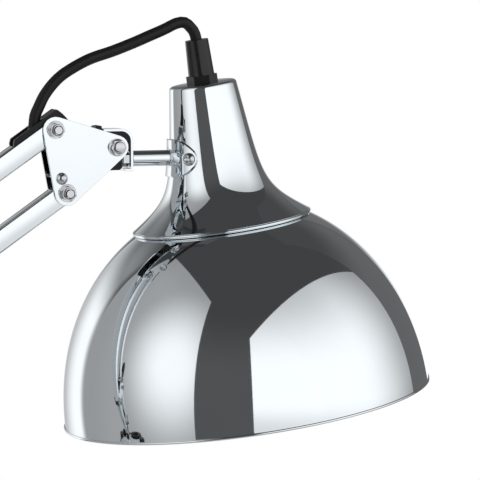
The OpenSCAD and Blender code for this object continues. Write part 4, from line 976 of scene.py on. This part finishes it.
def makeCards():
    up = Vector((0, 0, 1))
    for name, (azimuth, distance, left, right, top, bottom) in studio["cards"].items():
        turn = math.radians(azimuth)
        middle = shadeRim + Vector((math.sin(turn), math.cos(turn), 0)) * distance
        along = Vector((math.cos(turn), -math.sin(turn), 0))
        corners = ((left, bottom), (right, bottom), (right, top), (left, top))
        verts = [middle + along * a * distance + up * b * distance for a, b in corners]
        onlyInReflections(stageObject(name, verts, [(0, 1, 2, 3)], cardMaterial(name)))
    # the dim room round it all, open below
    room = studio["room"]
    sides, heights = (-room["half"], room["half"]), (room["low"], room["high"])
    verts = [shadeRim + Vector((x, y, z)) for x in sides for y in sides for z in heights]
    faces = [(0, 1, 3, 2), (4, 6, 7, 5), (0, 4, 5, 1), (2, 3, 7, 6), (1, 5, 7, 3)]
    onlyInReflections(stageObject("dimRoom", verts, faces, cardMaterial("dimRoom")))


floorLook = {
    "half": 14, "dark": (0.80, 0.80, 0.80, 1), "light": (0.82, 0.82, 0.82, 1), "rough": 0.75, "grain": 60,
    # the camera sees it fade to white between these distances from the middle
    "middle": (0.15, 0, 0), "fade": (0.40, 0.66),
}


def makeFloor():
    look = floorLook
    made = bpy.data.materials.new("paleFloor")
    made.use_nodes = True
    tree = made.node_tree
    shader = tree.nodes["Principled BSDF"]
    shader.inputs["Roughness"].default_value = look["rough"]
    grain = nodeIn(tree, "ShaderNodeTexNoise")
    grain.inputs["Scale"].default_value = look["grain"]
    tone = nodeIn(tree, "ShaderNodeMix", data_type="RGBA")
    tone.inputs["A"].default_value = look["dark"]
    tone.inputs["B"].default_value = look["light"]
    link(tree, grain.outputs["Fac"], tone.inputs["Factor"])
    link(tree, tone.outputs["Result"], shader.inputs["Base Color"])
    white = nodeIn(tree, "ShaderNodeEmission")
    place = nodeIn(tree, "ShaderNodeTexCoord")
    away = nodeIn(tree, "ShaderNodeVectorMath", operation="DISTANCE")
    away.inputs[1].default_value = look["middle"]
    fade = nodeIn(tree, "ShaderNodeMapRange", interpolation_type="SMOOTHSTEP")
    fade.inputs["From Min"].default_value, fade.inputs["From Max"].default_value = look["fade"]
    path = nodeIn(tree, "ShaderNodeLightPath")
    both = nodeIn(tree, "ShaderNodeMath", operation="MULTIPLY")
    mix = nodeIn(tree, "ShaderNodeMixShader")
    link(tree, place.outputs["Object"], away.inputs[0])
    link(tree, away.outputs["Value"], fade.inputs["Value"])
    link(tree, path.outputs["Is Camera Ray"], both.inputs[0])
    link(tree, fade.outputs["Result"], both.inputs[1])
    link(tree, both.outputs[0], mix.inputs["Fac"])
    link(tree, shader.outputs[0], mix.inputs[1])
    link(tree, white.outputs[0], mix.inputs[2])
    link(tree, mix.outputs[0], tree.nodes["Material Output"].inputs["Surface"])
    half = look["half"]
    corners = [(-half, -half, 0), (half, -half, 0), (half, half, 0), (-half, half, 0)]
    floor = stageObject("floor", corners, [(0, 1, 2, 3)], made)
    floor.visible_glossy = False


worldLight = {"seen": 1.0, "elsewhere": 0.5}


def makeWorld():
    # white behind the lamp, and half as bright in its mirror surfaces and as light
    world = bpy.data.worlds.new("studioWorld")
    world.use_nodes = True
    bpy.context.scene.world = world
    tree = world.node_tree
    back = tree.nodes["Background"]
    back.inputs["Color"].default_value = (1, 1, 1, 1)
    path = nodeIn(tree, "ShaderNodeLightPath")
    level = nodeIn(tree, "ShaderNodeMapRange")
    level.inputs["To Min"].default_value = worldLight["elsewhere"]
    level.inputs["To Max"].default_value = worldLight["seen"]
    link(tree, path.outputs["Is Camera Ray"], level.inputs["Value"])
    link(tree, level.outputs["Result"], back.inputs["Strength"])


lamps = {
    # name: azimuth, rise, distance, size, power
    "keyLamp": (140, 1.3, 1.8, 1.6, 22),
    "fillLamp": (-90, 1.0, 1.8, 1.4, 12),
}
lampTarget = Vector((0.2, 0, 0.15))


def makeLamps():
    for name, (azimuth, rise, distance, size, power) in lamps.items():
        data = bpy.data.lights.new(name, "AREA")
        data.shape, data.size, data.energy = "SQUARE", size, power
        lamp = bpy.data.objects.new(name, data)
        turn = math.radians(azimuth)
        lamp.location = lampTarget + Vector((math.sin(turn) * distance, math.cos(turn) * distance, rise))
        lamp.rotation_mode = "QUATERNION"
        lamp.rotation_quaternion = (lampTarget - lamp.location).to_track_quat("-Z", "Y")
        lamp.visible_glossy = False
        bpy.context.scene.collection.objects.link(lamp)


makeCards()
makeFloor()
makeWorld()
makeLamps()
bpy.context.scene.view_settings.view_transform = "Standard"
print("studio set")
